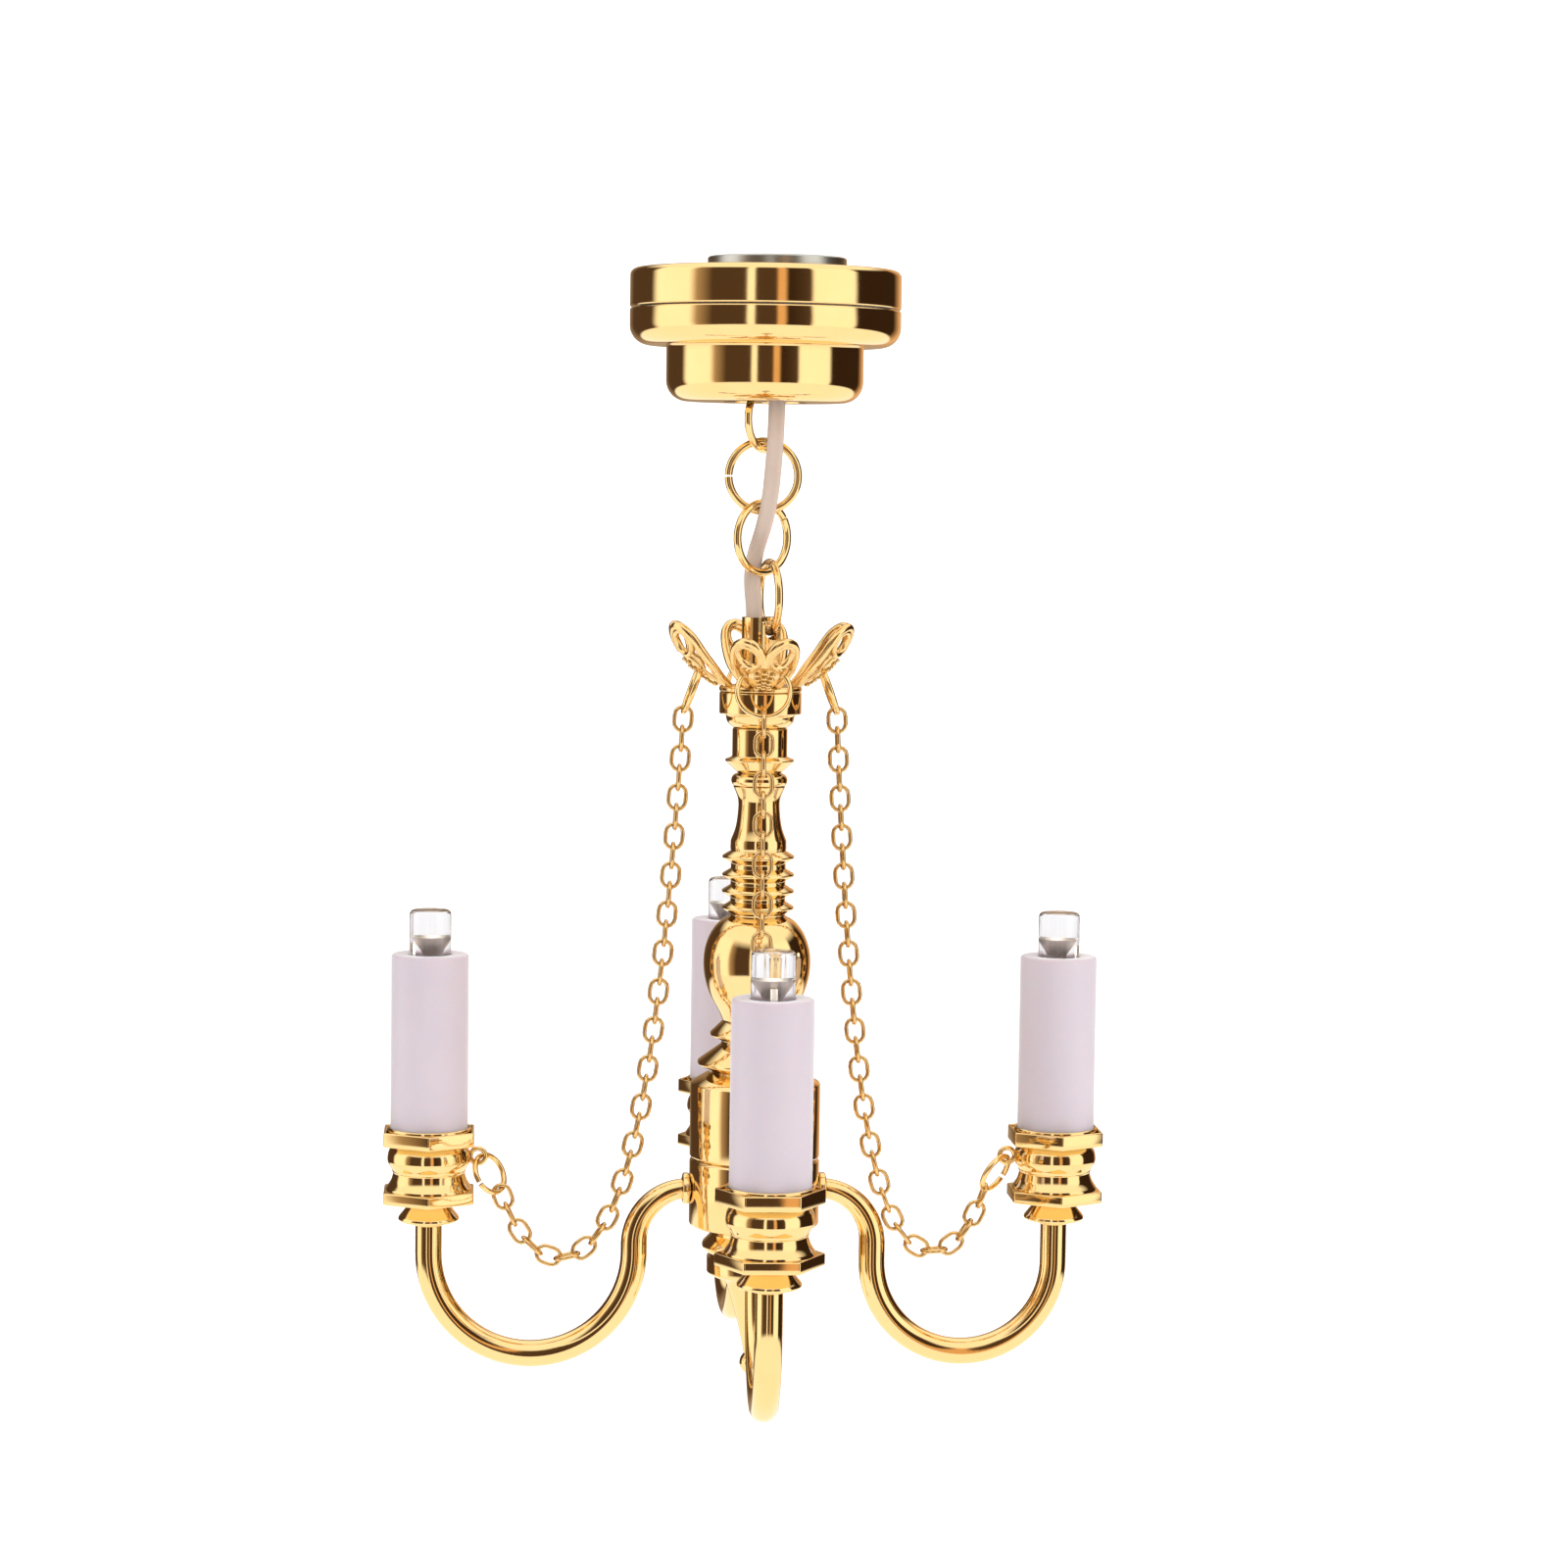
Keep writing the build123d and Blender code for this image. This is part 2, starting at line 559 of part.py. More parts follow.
def swag_links(reach, count):
    """Links end to end along the hanging curve, each turned a quarter from the last."""
    end_hook = end_ring_centre(reach) + end_down * END_RING_R
    half_link = LINK_LEN / 2 - LINK_WIRE_R
    top_step = half_link - LINK_WIRE_R - TOP_RING_WIRE_R - END_SLACK + pitch / 2
    end_step = half_link - LINK_WIRE_R - END_RING_WIRE_R - END_SLACK + pitch / 2
    length = top_step + (count - 2) * pitch + end_step
    point = hanging_curve(top_hook, end_hook, length)
    joints = [top_step + pitch * index for index in range(count - 1)]
    link = oval_link()
    links = []
    for index in range(count):
        if index == 0:
            towards = point(joints[0]) - top_hook
            centre = point(joints[0]) - towards.normalized() * (pitch / 2)
        elif index == count - 1:
            towards = end_hook - point(joints[-1])
            centre = point(joints[-1]) + towards.normalized() * (pitch / 2)
        else:
            before, after = point(joints[index - 1]), point(joints[index])
            towards = after - before
            centre = (before + after) / 2
        flat = Vector(0, 1, 0) if index % 2 == 0 else towards.normalized().cross(Vector(0, 1, 0))
        links.append(Plane(origin=centre, x_dir=towards, z_dir=flat) * link)
    lowest = min(point(length * step / 200).Z for step in range(201))
    print("swag length", round(length, 2), "lowest", round(lowest, 2), "end", end_hook)
    return links


for side, (_, reach, count) in SIDES.items():
    save(f"swag_top_ring_{side}", at_side(swag_top_ring(), side))
    save(f"swag_end_ring_{side}", at_side(swag_end_ring(reach), side))
    links = swag_links(reach, count)
    save(f"swag_chain_{side}", Compound(children=[at_side(link, side) for link in links]))
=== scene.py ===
"""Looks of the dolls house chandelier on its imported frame. Metres; sizes are given in millimetres."""
import json
import math

import bpy
from mathutils import Matrix, Vector


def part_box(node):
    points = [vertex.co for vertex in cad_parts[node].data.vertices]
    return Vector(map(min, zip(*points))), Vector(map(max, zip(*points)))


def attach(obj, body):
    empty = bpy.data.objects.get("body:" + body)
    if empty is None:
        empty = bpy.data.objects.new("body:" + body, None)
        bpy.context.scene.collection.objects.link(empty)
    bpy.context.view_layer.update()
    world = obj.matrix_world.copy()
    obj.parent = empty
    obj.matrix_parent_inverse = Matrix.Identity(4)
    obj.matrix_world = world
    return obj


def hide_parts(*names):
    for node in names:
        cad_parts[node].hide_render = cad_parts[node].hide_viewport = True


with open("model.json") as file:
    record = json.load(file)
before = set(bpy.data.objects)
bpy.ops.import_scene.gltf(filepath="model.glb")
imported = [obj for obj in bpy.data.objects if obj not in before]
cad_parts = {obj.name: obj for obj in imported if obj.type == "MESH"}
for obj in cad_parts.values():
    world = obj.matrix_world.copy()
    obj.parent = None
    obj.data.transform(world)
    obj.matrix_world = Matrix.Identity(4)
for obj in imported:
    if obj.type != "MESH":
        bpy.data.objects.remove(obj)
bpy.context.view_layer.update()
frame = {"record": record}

MM = 0.001
# each side's turn in degrees, the reach of its candle and its number of chain links
SIDES = {
    "right": (0.0, 22.2, 34),
    "back": (91.6, 22.8, 34),
    "left": (180.0, 23.7, 35),
    "front": (268.4, 22.8, 34),
}

# ---- sizes shared with the frame, in millimetres ------------------------------------------------
SPIN_STEPS = 96
EYE_TURN = 55.0
RING_TURNS = {"jump_ring_1": (0.0, 180.0), "jump_ring_2": (40.0, 35.0), "jump_ring_3": (-78.0, 70.0)}
RING_WIRE_R = 0.285
EYE_WIRE_R = 0.275
ARM_EXIT_Z, ARM_START_R = -67.6, 4.0
ARM_BEND_R, ARM_BEND_START = 4.0, 4.75
ARM_U_LOW, ARM_TOP_Z = -79.8, -69.6
ARM_ROOT_R, ARM_TUBE_R = 0.72, 0.96
TOP_RING_R, TOP_RING_WIRE_R, TOP_RING_AT, TOP_RING_LEAN = 1.9, 0.195, (4.92, -30.92), 20.0
END_RING_R, END_RING_WIRE_R, END_RING_TURN, END_RING_LEAN = 1.45, 0.2, 55.0, -33.0
LOOP_IN, LOOP_Z, LOOP_R, LOOP_WIRE_R, LOOP_SLACK = 3.55, -65.2, 0.55, 0.18, 0.06
LINK_LEN, LINK_WIDTH, LINK_WIRE_R, LINK_SLACK = 2.085, 1.54, 0.15, 0.06
PETAL_ROOT, PETAL_TIP, PETAL_SAG, PETAL_CUP, PETAL_T = (2.7, -31.0), (6.85, -26.3), 0.75, 1.15, 0.4
PETAL_RIM_R, PETAL_LOBE_R, PETAL_SCROLL_R, PETAL_HALF_WIDTH = 0.31, 0.25, 0.16, 2.2
FRONT_PETAL_BEND = 13.0
HEX_ACROSS_FLATS = 6.5
# what the polished gold mirrors: its levels, and how far the view is turned to the left
LIT, MID, WARM = (1.3, 1.24, 1.12), (0.45, 0.32, 0.2), (0.85, 0.5, 0.25)
DARK, BLACK = (0.085, 0.05, 0.03), (0.035, 0.018, 0.01)
TABLE, SOFT, VIEW_SLANT = (1.15, 1.12, 1.02), (0.6, 0.59, 0.61), 0.077
LEAD_ROUTE = [
    (0.80, -1.55, -9.95),
    (0.76, -1.52, -12.4),
    (0.62, -1.30, -14.9),
    (0.42, -1.12, -17.3),
    (0.02, -0.56, -19.4),
    (-0.50, 0.52, -21.2),
    (-0.70, 0.92, -23.1),
    (-0.50, 0.06, -25.4),
    (-0.50, 0.0, -27.6),
    (-0.14, 0.0, -30.6),
    (0.0, 0.0, -34.5),
    (0.05, 0.0, -40.0),
    (-0.05, 0.0, -47.0),
    (0.05, 0.0, -54.0),
    (0.0, 0.0, -61.0),
]


# ---- modelling by hand --------------------------------------------------------------------------
def clear_selection():
    if bpy.context.object and bpy.context.object.mode != "OBJECT":
        bpy.ops.object.mode_set(mode="OBJECT")
    bpy.ops.object.select_all(action="DESELECT")


def pick(piece):
    """Make one piece the only selected and active one."""
    clear_selection()
    piece.select_set(True)
    bpy.context.view_layer.objects.active = piece


def settle(piece):
    """Put the piece's place into its mesh, so that its object sits unturned at the origin."""
    pick(piece)
    bpy.ops.object.transform_apply(location=True, rotation=True, scale=True)
    return piece


def clean(piece, merge=1e-7):
    """Join what meets and turn every face outward."""
    pick(piece)
    bpy.ops.object.mode_set(mode="EDIT")
    bpy.ops.mesh.select_all(action="SELECT")
    bpy.ops.mesh.remove_doubles(threshold=merge)
    bpy.ops.mesh.normals_make_consistent(inside=False)
    bpy.ops.object.mode_set(mode="OBJECT")
    return piece


def round_edges(piece, width, segments=2, angle=32.0):
    """Break the sharp edges, as plating and polishing do."""
    pick(piece)
    bevel = piece.modifiers.new("broken_edges", "BEVEL")
    bevel.width = width * MM
    bevel.segments = segments
    bevel.limit_method = "ANGLE"
    bevel.angle_limit = math.radians(angle)
    bevel.use_clamp_overlap = True
    bpy.ops.object.modifier_apply(modifier=bevel.name)
    return piece


def smooth(piece, angle=38.0):
    pick(piece)
    bpy.ops.object.shade_smooth_by_angle(angle=math.radians(angle))
    return piece


def joined(name, parts):
    """Several shapes made into one piece."""
    clear_selection()
    for part in parts:
        part.select_set(True)
    bpy.context.view_layer.objects.active = parts[0]
    bpy.ops.object.join()
    piece = bpy.context.object
    piece.name = name
    return piece


def copy_to_side(piece, name, side, out=0.0):
    """A copy with its own mesh, moved out and turned to its side of the lamp."""
    twin = piece.copy()
    twin.data = piece.data.copy()
    twin.name = name
    bpy.context.collection.objects.link(twin)
    turn = Matrix.Rotation(math.radians(SIDES[side][0]), 4, "Z")
    twin.data.transform(turn @ Matrix.Translation((out * MM, 0, 0)))
    return twin


def arc(centre, radius, start, end, count=8):
    """Points along a round stretch of an outline, from one angle to another in degrees."""
    angles = [math.radians(start + (end - start) * step / count) for step in range(count + 1)]
    return [(centre[0] + radius * math.cos(a), centre[1] + radius * math.sin(a)) for a in angles]


def curve_through(points, count=8):
    """A smooth stretch of an outline through a few points."""
    out = []
    padded = [points[0]] + list(points) + [points[-1]]
    for a, b, c, d in zip(padded, padded[1:], padded[2:], padded[3:]):
        for step in range(count):
            t = step / count
            out.append(tuple(
                0.5 * (2 * b[i] + (c[i] - a[i]) * t + (2 * a[i] - 5 * b[i] + 4 * c[i] - d[i]) * t**2
                       + (3 * b[i] - a[i] - 3 * c[i] + d[i]) * t**3) for i in (0, 1)))
    return out + [points[-1]]


def turn_on_lathe(name, outline, at=(0.0, 0.0), edge=0.05, steps=SPIN_STEPS, closed=False):
    """Draw a (radius, height) outline point by point and spin it about an upright axis."""
    clear_selection()
    bpy.ops.mesh.primitive_plane_add(size=1.0, location=(0, 0, 0))
    piece = bpy.context.object
    piece.name = name
    bpy.ops.object.mode_set(mode="EDIT")
    bpy.ops.mesh.select_all(action="SELECT")
    bpy.ops.mesh.merge(type="CENTER")
    here = Vector((at[0] + outline[0][0], at[1], outline[0][1])) * MM
    bpy.ops.transform.translate(value=here)
    stops = list(outline[1:]) + ([outline[0]] if closed else [])
    for radius, height in stops:
        there = Vector((at[0] + radius, at[1], height)) * MM
        bpy.ops.mesh.extrude_region_move(TRANSFORM_OT_translate={"value": there - here})
        here = there
    bpy.ops.mesh.select_all(action="SELECT")
    bpy.ops.mesh.remove_doubles(threshold=1e-7)
    bpy.ops.mesh.select_all(action="SELECT")
    centre = Vector((at[0], at[1], 0)) * MM
    bpy.ops.mesh.spin(steps=steps, angle=2 * math.pi, center=centre, axis=(0, 0, 1))
    clean(piece)
    if edge:
        round_edges(piece, edge)
    return smooth(piece)


def wire_ring(name, centre, normal, start, radius, wire, gap=0.0, steps=56, round_steps=16):
    """A round wire ring: a disc of the wire's section spun almost all the way, with closed ends."""
    normal, start = Vector(normal).normalized(), Vector(start).normalized()
    side = normal.cross(start)
    turn = Matrix((start, side, normal)).transposed().to_4x4()
    clear_selection()
    bpy.ops.mesh.primitive_circle_add(vertices=round_steps, radius=wire * MM, fill_type="NGON",
                                      location=(radius * MM, 0, 0), rotation=(math.pi / 2, 0, 0))
    piece = bpy.context.object
    piece.name = name
    settle(piece)
    bpy.ops.object.mode_set(mode="EDIT")
    bpy.ops.mesh.select_all(action="SELECT")
    if gap:
        bpy.ops.mesh.spin(steps=steps, angle=math.radians(360 - gap), center=(0, 0, 0), axis=(0, 0, 1))
    else:
        bpy.ops.mesh.delete(type="ONLY_FACE")
        bpy.ops.mesh.select_all(action="SELECT")
        bpy.ops.mesh.spin(steps=steps, angle=2 * math.pi, center=(0, 0, 0), axis=(0, 0, 1))
    clean(piece)
    if gap:
        piece.data.transform(Matrix.Rotation(math.radians(-gap / 2), 4, "Z"))
        close_start(piece)
    piece.data.transform(Matrix.Translation(Vector(centre) * MM) @ turn)
    return smooth(piece, 50)


def close_start(piece):
    """Cap any open end left by a spin."""
    pick(piece)
    bpy.ops.object.mode_set(mode="EDIT")
    bpy.ops.mesh.select_all(action="DESELECT")
    bpy.ops.mesh.select_mode(type="EDGE")
    bpy.ops.mesh.select_non_manifold(extend=False, use_wire=False, use_multi_face=False,
                                     use_non_contiguous=False, use_verts=False)
    bpy.ops.mesh.edge_face_add()
    bpy.ops.mesh.select_mode(type="VERT")
    bpy.ops.mesh.select_all(action="SELECT")
    bpy.ops.mesh.normals_make_consistent(inside=False)
    bpy.ops.object.mode_set(mode="OBJECT")


def drawn_wire(name, points, wire, cyclic=False):
    """A wire drawn along a smooth line through a few points, made a mesh."""
    clear_selection()
    bpy.ops.curve.primitive_nurbs_path_add(location=(0, 0, 0))
    line = bpy.context.object
    line.name = name
    line.data.splines.clear()
    spline = line.data.splines.new("NURBS")
    spline.points.add(len(points) - 1)
    for point, target in zip(points, spline.points):
        target.co = (*[c * MM for c in point], 1.0)
    spline.use_cyclic_u = cyclic
    spline.order_u = 3
    spline.use_endpoint_u = not cyclic
    spline.resolution_u = 8
    line.data.bevel_depth = wire * MM
    line.data.bevel_resolution = 3
    line.data.use_fill_caps = True
    bpy.ops.object.convert(target="MESH")
    return smooth(clean(bpy.context.object), 60)


# ---- effects and materials ----------------------------------------------------------------------
def effect(name, inputs, outputs):
    """An empty node group with its named sockets."""
    group = bpy.data.node_groups.new(name, "ShaderNodeTree")
    for label, kind, value in inputs:
        socket = group.interface.new_socket(label, in_out="INPUT", socket_type=kind)
        socket.default_value = value
    for label, kind in outputs:
        group.interface.new_socket(label, in_out="OUTPUT", socket_type=kind)
    return group, group.nodes.new("NodeGroupInput"), group.nodes.new("NodeGroupOutput")


def polish_effect():
    """Hand polishing: soft clouding, fine wiping lines and a few dull spots."""
    group, given, out = effect(
        "polish",
        [("Scale", "NodeSocketFloat", 900.0), ("Rough", "NodeSocketFloat", 0.1),
         ("Spread", "NodeSocketFloat", 0.08)],
        [("Roughness", "NodeSocketFloat"), ("Height", "NodeSocketFloat"), ("Cloud", "NodeSocketFloat")])
    nodes, links = group.nodes, group.links
    place = nodes.new("ShaderNodeTexCoord")
    cloud = nodes.new("ShaderNodeTexNoise")
    cloud.inputs["Detail"].default_value = 3.0
    fine = nodes.new("ShaderNodeTexNoise")
    fine.inputs["Detail"].default_value = 2.0
    finer = nodes.new("ShaderNodeMath")
    finer.operation = "MULTIPLY"
    finer.inputs[1].default_value = 6.0
    spread = nodes.new("ShaderNodeMath")
    spread.operation = "MULTIPLY_ADD"
    links.new(place.outputs["Object"], cloud.inputs["Vector"])
    links.new(place.outputs["Object"], fine.inputs["Vector"])
    links.new(given.outputs["Scale"], cloud.inputs["Scale"])
    links.new(given.outputs["Scale"], finer.inputs[0])
    links.new(finer.outputs[0], fine.inputs["Scale"])
    links.new(cloud.outputs["Fac"], spread.inputs[0])
    links.new(given.outputs["Spread"], spread.inputs[1])
    links.new(given.outputs["Rough"], spread.inputs[2])
    links.new(spread.outputs[0], out.inputs["Roughness"])
    links.new(fine.outputs["Fac"], out.inputs["Height"])
    links.new(cloud.outputs["Fac"], out.inputs["Cloud"])
    return group


def painted_groove_shade_effect():
    """Painted shade: the colour darkened in grooves and corners, by a mask found from the shape itself."""
    group, given, out = effect(
        "painted_groove_shade",
        [("Distance", "NodeSocketFloat", 0.0006), ("Strength", "NodeSocketFloat", 0.6)],
        [("Mask", "NodeSocketFloat")])
    nodes, links = group.nodes, group.links
    corner = nodes.new("ShaderNodeAmbientOcclusion")
    corner.samples = 4
    invert = nodes.new("ShaderNodeMath")
    invert.operation = "SUBTRACT"
    invert.inputs[0].default_value = 1.0
    amount = nodes.new("ShaderNodeMath")
    amount.operation = "MULTIPLY"
    links.new(given.outputs["Distance"], corner.inputs["Distance"])
    links.new(corner.outputs["AO"], invert.inputs[1])
    links.new(invert.outputs[0], amount.inputs[0])
    links.new(given.outputs["Strength"], amount.inputs[1])
    links.new(amount.outputs[0], out.inputs["Mask"])
    return group


POLISH = polish_effect()
# the painted shade for grooves and corners, shared by the finishes
PAINTED_GROOVE_SHADE = painted_groove_shade_effect()


def finish(name, colour, metallic=0.0, rough=0.3, spread=0.1, scale=900.0, bump=0.02, shade=None,
           groove=0.0, **sockets):
    """A shader with the shared polish effect, its tone varied a little over the surface; groove sets the
    painted shade that darkens its grooves and corners.
    """
    material = bpy.data.materials.new(name)
    material.use_nodes = True
    nodes, links = material.node_tree.nodes, material.node_tree.links
    surface = nodes["Principled BSDF"]
    surface.inputs["Metallic"].default_value = metallic
    for label, value in sockets.items():
        surface.inputs[label.replace("_", " ")].default_value = value
    polish = nodes.new("ShaderNodeGroup")
    polish.node_tree = POLISH
    polish.inputs["Scale"].default_value = scale
    polish.inputs["Rough"].default_value = rough - spread / 2
    polish.inputs["Spread"].default_value = spread
    links.new(polish.outputs["Roughness"], surface.inputs["Roughness"])
    tone = nodes.new("ShaderNodeMix")
    tone.data_type = "RGBA"
    tone.inputs[6].default_value = (*colour, 1.0)
    tone.inputs[7].default_value = (*(shade or [c * 0.92 for c in colour]), 1.0)
    links.new(polish.outputs["Cloud"], tone.inputs[0])
    last = tone.outputs[2]
    # painted shade: where the corner mask finds grooves and corners, the base colour is darkened towards 0.45
    # of itself
    if groove:
        corner = nodes.new("ShaderNodeGroup")
        corner.node_tree = PAINTED_GROOVE_SHADE
        corner.inputs["Strength"].default_value = groove
        dark = nodes.new("ShaderNodeMix")
        dark.data_type = "RGBA"
        dark.inputs[7].default_value = (*[c * 0.45 for c in colour], 1.0)
        links.new(corner.outputs["Mask"], dark.inputs[0])
        links.new(last, dark.inputs[6])
        last = dark.outputs[2]
    links.new(last, surface.inputs["Base Color"])
    if bump:
        relief = nodes.new("ShaderNodeBump")
        relief.inputs["Strength"].default_value = bump
        relief.inputs["Distance"].default_value = 0.00002
        links.new(polish.outputs["Height"], relief.inputs["Height"])
        links.new(relief.outputs["Normal"], surface.inputs["Normal"])
    return material


# groove: how strongly painted shade darkens each finish's grooves and corners
GOLD = finish("gold_plate", (1.0, 0.75, 0.38), 1.0, 0.075, 0.06, 420.0, 0.03,
              shade=(0.98, 0.69, 0.31), groove=0.5)
GOLD_CAST = finish("cast_gold", (1.0, 0.74, 0.37), 1.0, 0.16, 0.12, 1400.0, 0.3,
                   shade=(0.93, 0.6, 0.25), groove=0.8)
GOLD_CHAIN = finish("chain_gold", (0.95, 0.66, 0.31), 1.0, 0.11, 0.1, 1200.0, 0.1,
                    shade=(0.82, 0.53, 0.23), groove=0.9)
MAGNET = finish("nickel_magnet", (0.66, 0.67, 0.65), 1.0, 0.3, 0.14, 700.0, 0.08,
                shade=(0.5, 0.5, 0.49))
STEEL = finish("cell_can", (0.66, 0.66, 0.66), 1.0, 0.28, 0.1, 400.0, 0.05)
TINNED = finish("tinned_contact", (0.7, 0.66, 0.6), 1.0, 0.3, 0.1, 600.0, 0.05)
TRAY = finish("tray_moulding", (0.8, 0.8, 0.77), 0.0, 0.45, 0.1, 800.0, 0.05)
LEAD_SKIN = finish("lead_skin", (0.62, 0.5, 0.42), 0.0, 0.36, 0.1, 700.0, 0.05,
                   shade=(0.55, 0.44, 0.36), Subsurface_Weight=0.2, Subsurface_Scale=0.0004, IOR=1.5)
WIRE_SKIN = finish("wire_skin", (0.6, 0.06, 0.04), 0.0, 0.4, 0.1, 700.0, 0.05)
CANDLE = finish("candle_moulding", (0.62, 0.545, 0.58), 0.0, 0.4, 0.1, 350.0, 0.08,
                shade=(0.58, 0.51, 0.565), Subsurface_Weight=0.25, Subsurface_Scale=0.0012,
                IOR=1.46, Sheen_Weight=0.9, Sheen_Roughness=0.35)
EPOXY = finish("light_epoxy", (0.99, 0.985, 1.0), 0.0, 0.05, 0.04, 600.0, 0.0,
               shade=(0.97, 0.96, 0.99), IOR=1.48, Transmission_Weight=0.95)
ANVIL = finish("light_frame", (0.96, 0.87, 0.75), 1.0, 0.33, 0.1, 900.0, 0.03)


def coat(piece, material):
    """Give a piece one material all over."""
    piece.data.materials.clear()
    piece.data.materials.append(material)
    return piece


def fit(piece, body, slot, material, *nodes):
    """Finish a piece: its material, the body it moves with, and the frame nodes it stands for, which are
    hidden. The slot argument is not used.
    """
    coat(piece, material)
    settle(piece)
    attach(piece, body)
    if nodes:
        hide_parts(*nodes)
    return piece


# ---- battery canopy -----------------------------------------------------------------------------
def canopy():
    """The magnet, a little off the middle, and the two turned shells under it."""
    outline = [(0, 0), (4.9, 0), (5.0, -0.1), (5.0, -0.8), (4.9, -0.9), (0, -0.9)]
    magnet = turn_on_lathe("magnet_disc", outline, edge=0.03)
    low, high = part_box("ceiling_magnet")
    magnet.location.x = (low[0] + high[0]) / 2
    fit(magnet, "cover", "magnet", MAGNET, "ceiling_magnet")
    cover = ([(0, -0.9), (9.2, -0.9)] + arc((9.25, -1.4), 0.5, 90, 0, 6)
             + [(9.75, -3.55), (9.68, -3.65), (9.05, -3.65), (9.05, -1.6), (0, -1.6)])
    fit(turn_on_lathe("cover_shell", cover, edge=0.02), "cover", "gold_plate", GOLD, "canopy_cover")
    base = ([(9.05, -3.75), (9.68, -3.75), (9.75, -3.85)] + arc((8.35, -4.95), 1.4, 0, -90, 10)
            + [(7.32, -6.35)] + arc((7.3, -6.55), 0.2, 90, 180, 4) + [(7.1, -8.85)]
            + arc((5.6, -8.85), 1.5, 0, -90, 10)
            + [(3.1, -10.35), (3.1, -9.35), (6.3, -9.35), (6.3, -5.9), (9.05, -5.65)])
    base = turn_on_lathe("base_shell", base, edge=0.02, closed=True)
    fit(base, "base", "gold_plate", GOLD, "canopy_base")


# ---- hanger -------------------------------------------------------------------------------------
def hanger():
    low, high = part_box("hanger_eye")
    middle = [(a + b) / 2 / MM for a, b in zip(low, high)]
    angle = math.radians(EYE_TURN)
    eye = wire_ring("eye_ring", middle, (math.sin(angle), -math.cos(angle), 0), (0, 0, 1),
                    (high[2] - low[2]) / 2 / MM - EYE_WIRE_R, EYE_WIRE_R)
    fit(eye, "eye", "gold_plate", GOLD, "hanger_eye")
    for node, (turn, cut) in RING_TURNS.items():
        low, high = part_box(node)
        angle, cut = math.radians(turn), math.radians(cut)
        along = Vector((math.cos(angle), math.sin(angle), 0))
        radius = (high[2] - low[2]) / 2 / MM - RING_WIRE_R
        middle = [(a + b) / 2 / MM for a, b in zip(low, high)]
        if node == "jump_ring_1":
            middle[0] = 0.0
        start = along * math.cos(cut) + Vector((0, 0, 1)) * math.sin(cut)
        ring = wire_ring(node + "_wire", middle, (math.sin(angle), -math.cos(angle), 0), start, radius,
                         RING_WIRE_R, gap=3.0)
        fit(ring, "lamp", "gold_plate", GOLD, node)


def lead_line():
    """The lead's smooth centre line as a curve, and the points read from it."""
    line = bpy.data.curves.new("lead_line", "CURVE")
    line.dimensions = "3D"
    spline = line.splines.new("NURBS")
    spline.points.add(len(LEAD_ROUTE) - 1)
    for target, point in zip(spline.points, LEAD_ROUTE):
        target.co = (*[c * MM for c in point], 1.0)
    spline.order_u = 3
    spline.use_endpoint_u = True
    spline.resolution_u = 12
    holder = bpy.data.objects.new("lead_line", line)
    bpy.context.collection.objects.link(holder)
    bpy.context.view_layer.update()
    mesh = bpy.data.meshes.new_from_object(holder)
    points = [vertex.co.copy() for vertex in mesh.vertices]
    bpy.data.objects.remove(holder)
    return points


def flat_lead():
    """The flat twin lead: two round cores side by side, with the groove between them."""
    points = lead_line()
    half_width, core = 0.3, 0.3
    section = []
    for side in (1, -1):
        start = -118 if side == 1 else 62
        for step in range(9):
            angle = math.radians(start + 236 * step / 8)
            section.append((side * half_width + core * math.cos(angle), core * math.sin(angle)))
    clear_selection()
    bpy.ops.mesh.primitive_circle_add(vertices=len(section), radius=MM, fill_type="NGON")
    lead = bpy.context.object
    lead.name = "twin_lead"
    for vertex, (x, y) in zip(lead.data.vertices, section):
        vertex.co = (x * MM + points[0].x, y * MM + points[0].y, points[0].z)
    bpy.ops.object.mode_set(mode="EDIT")
    bpy.ops.mesh.select_all(action="SELECT")
    for before, here in zip(points, points[1:]):
        bpy.ops.mesh.extrude_region_move(TRANSFORM_OT_translate={"value": here - before})
    bpy.ops.object.mode_set(mode="OBJECT")
    smooth(clean(lead), 60)
    fit(lead, "lamp", "lead_pvc", LEAD_SKIN, "lead")
    length = sum((b - a).length for a, b in zip(points, points[1:]))
    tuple(points[0])


# ---- stem ---------------------------------------------------------------------------------------
def top_tube():
    """The tube under the rings, with its cross hole: a copy of the frame's own tube."""
    source = bpy.data.objects["top_tube"]
    tube = source.copy()
    tube.data = source.data.copy()
    tube.name = "drilled_tube"
    bpy.context.collection.objects.link(tube)
    tube.hide_render = False
    clean(tube, 1e-6)
    smooth(tube, 30)
    fit(tube, "lamp", "gold_plate", GOLD, "top_tube")


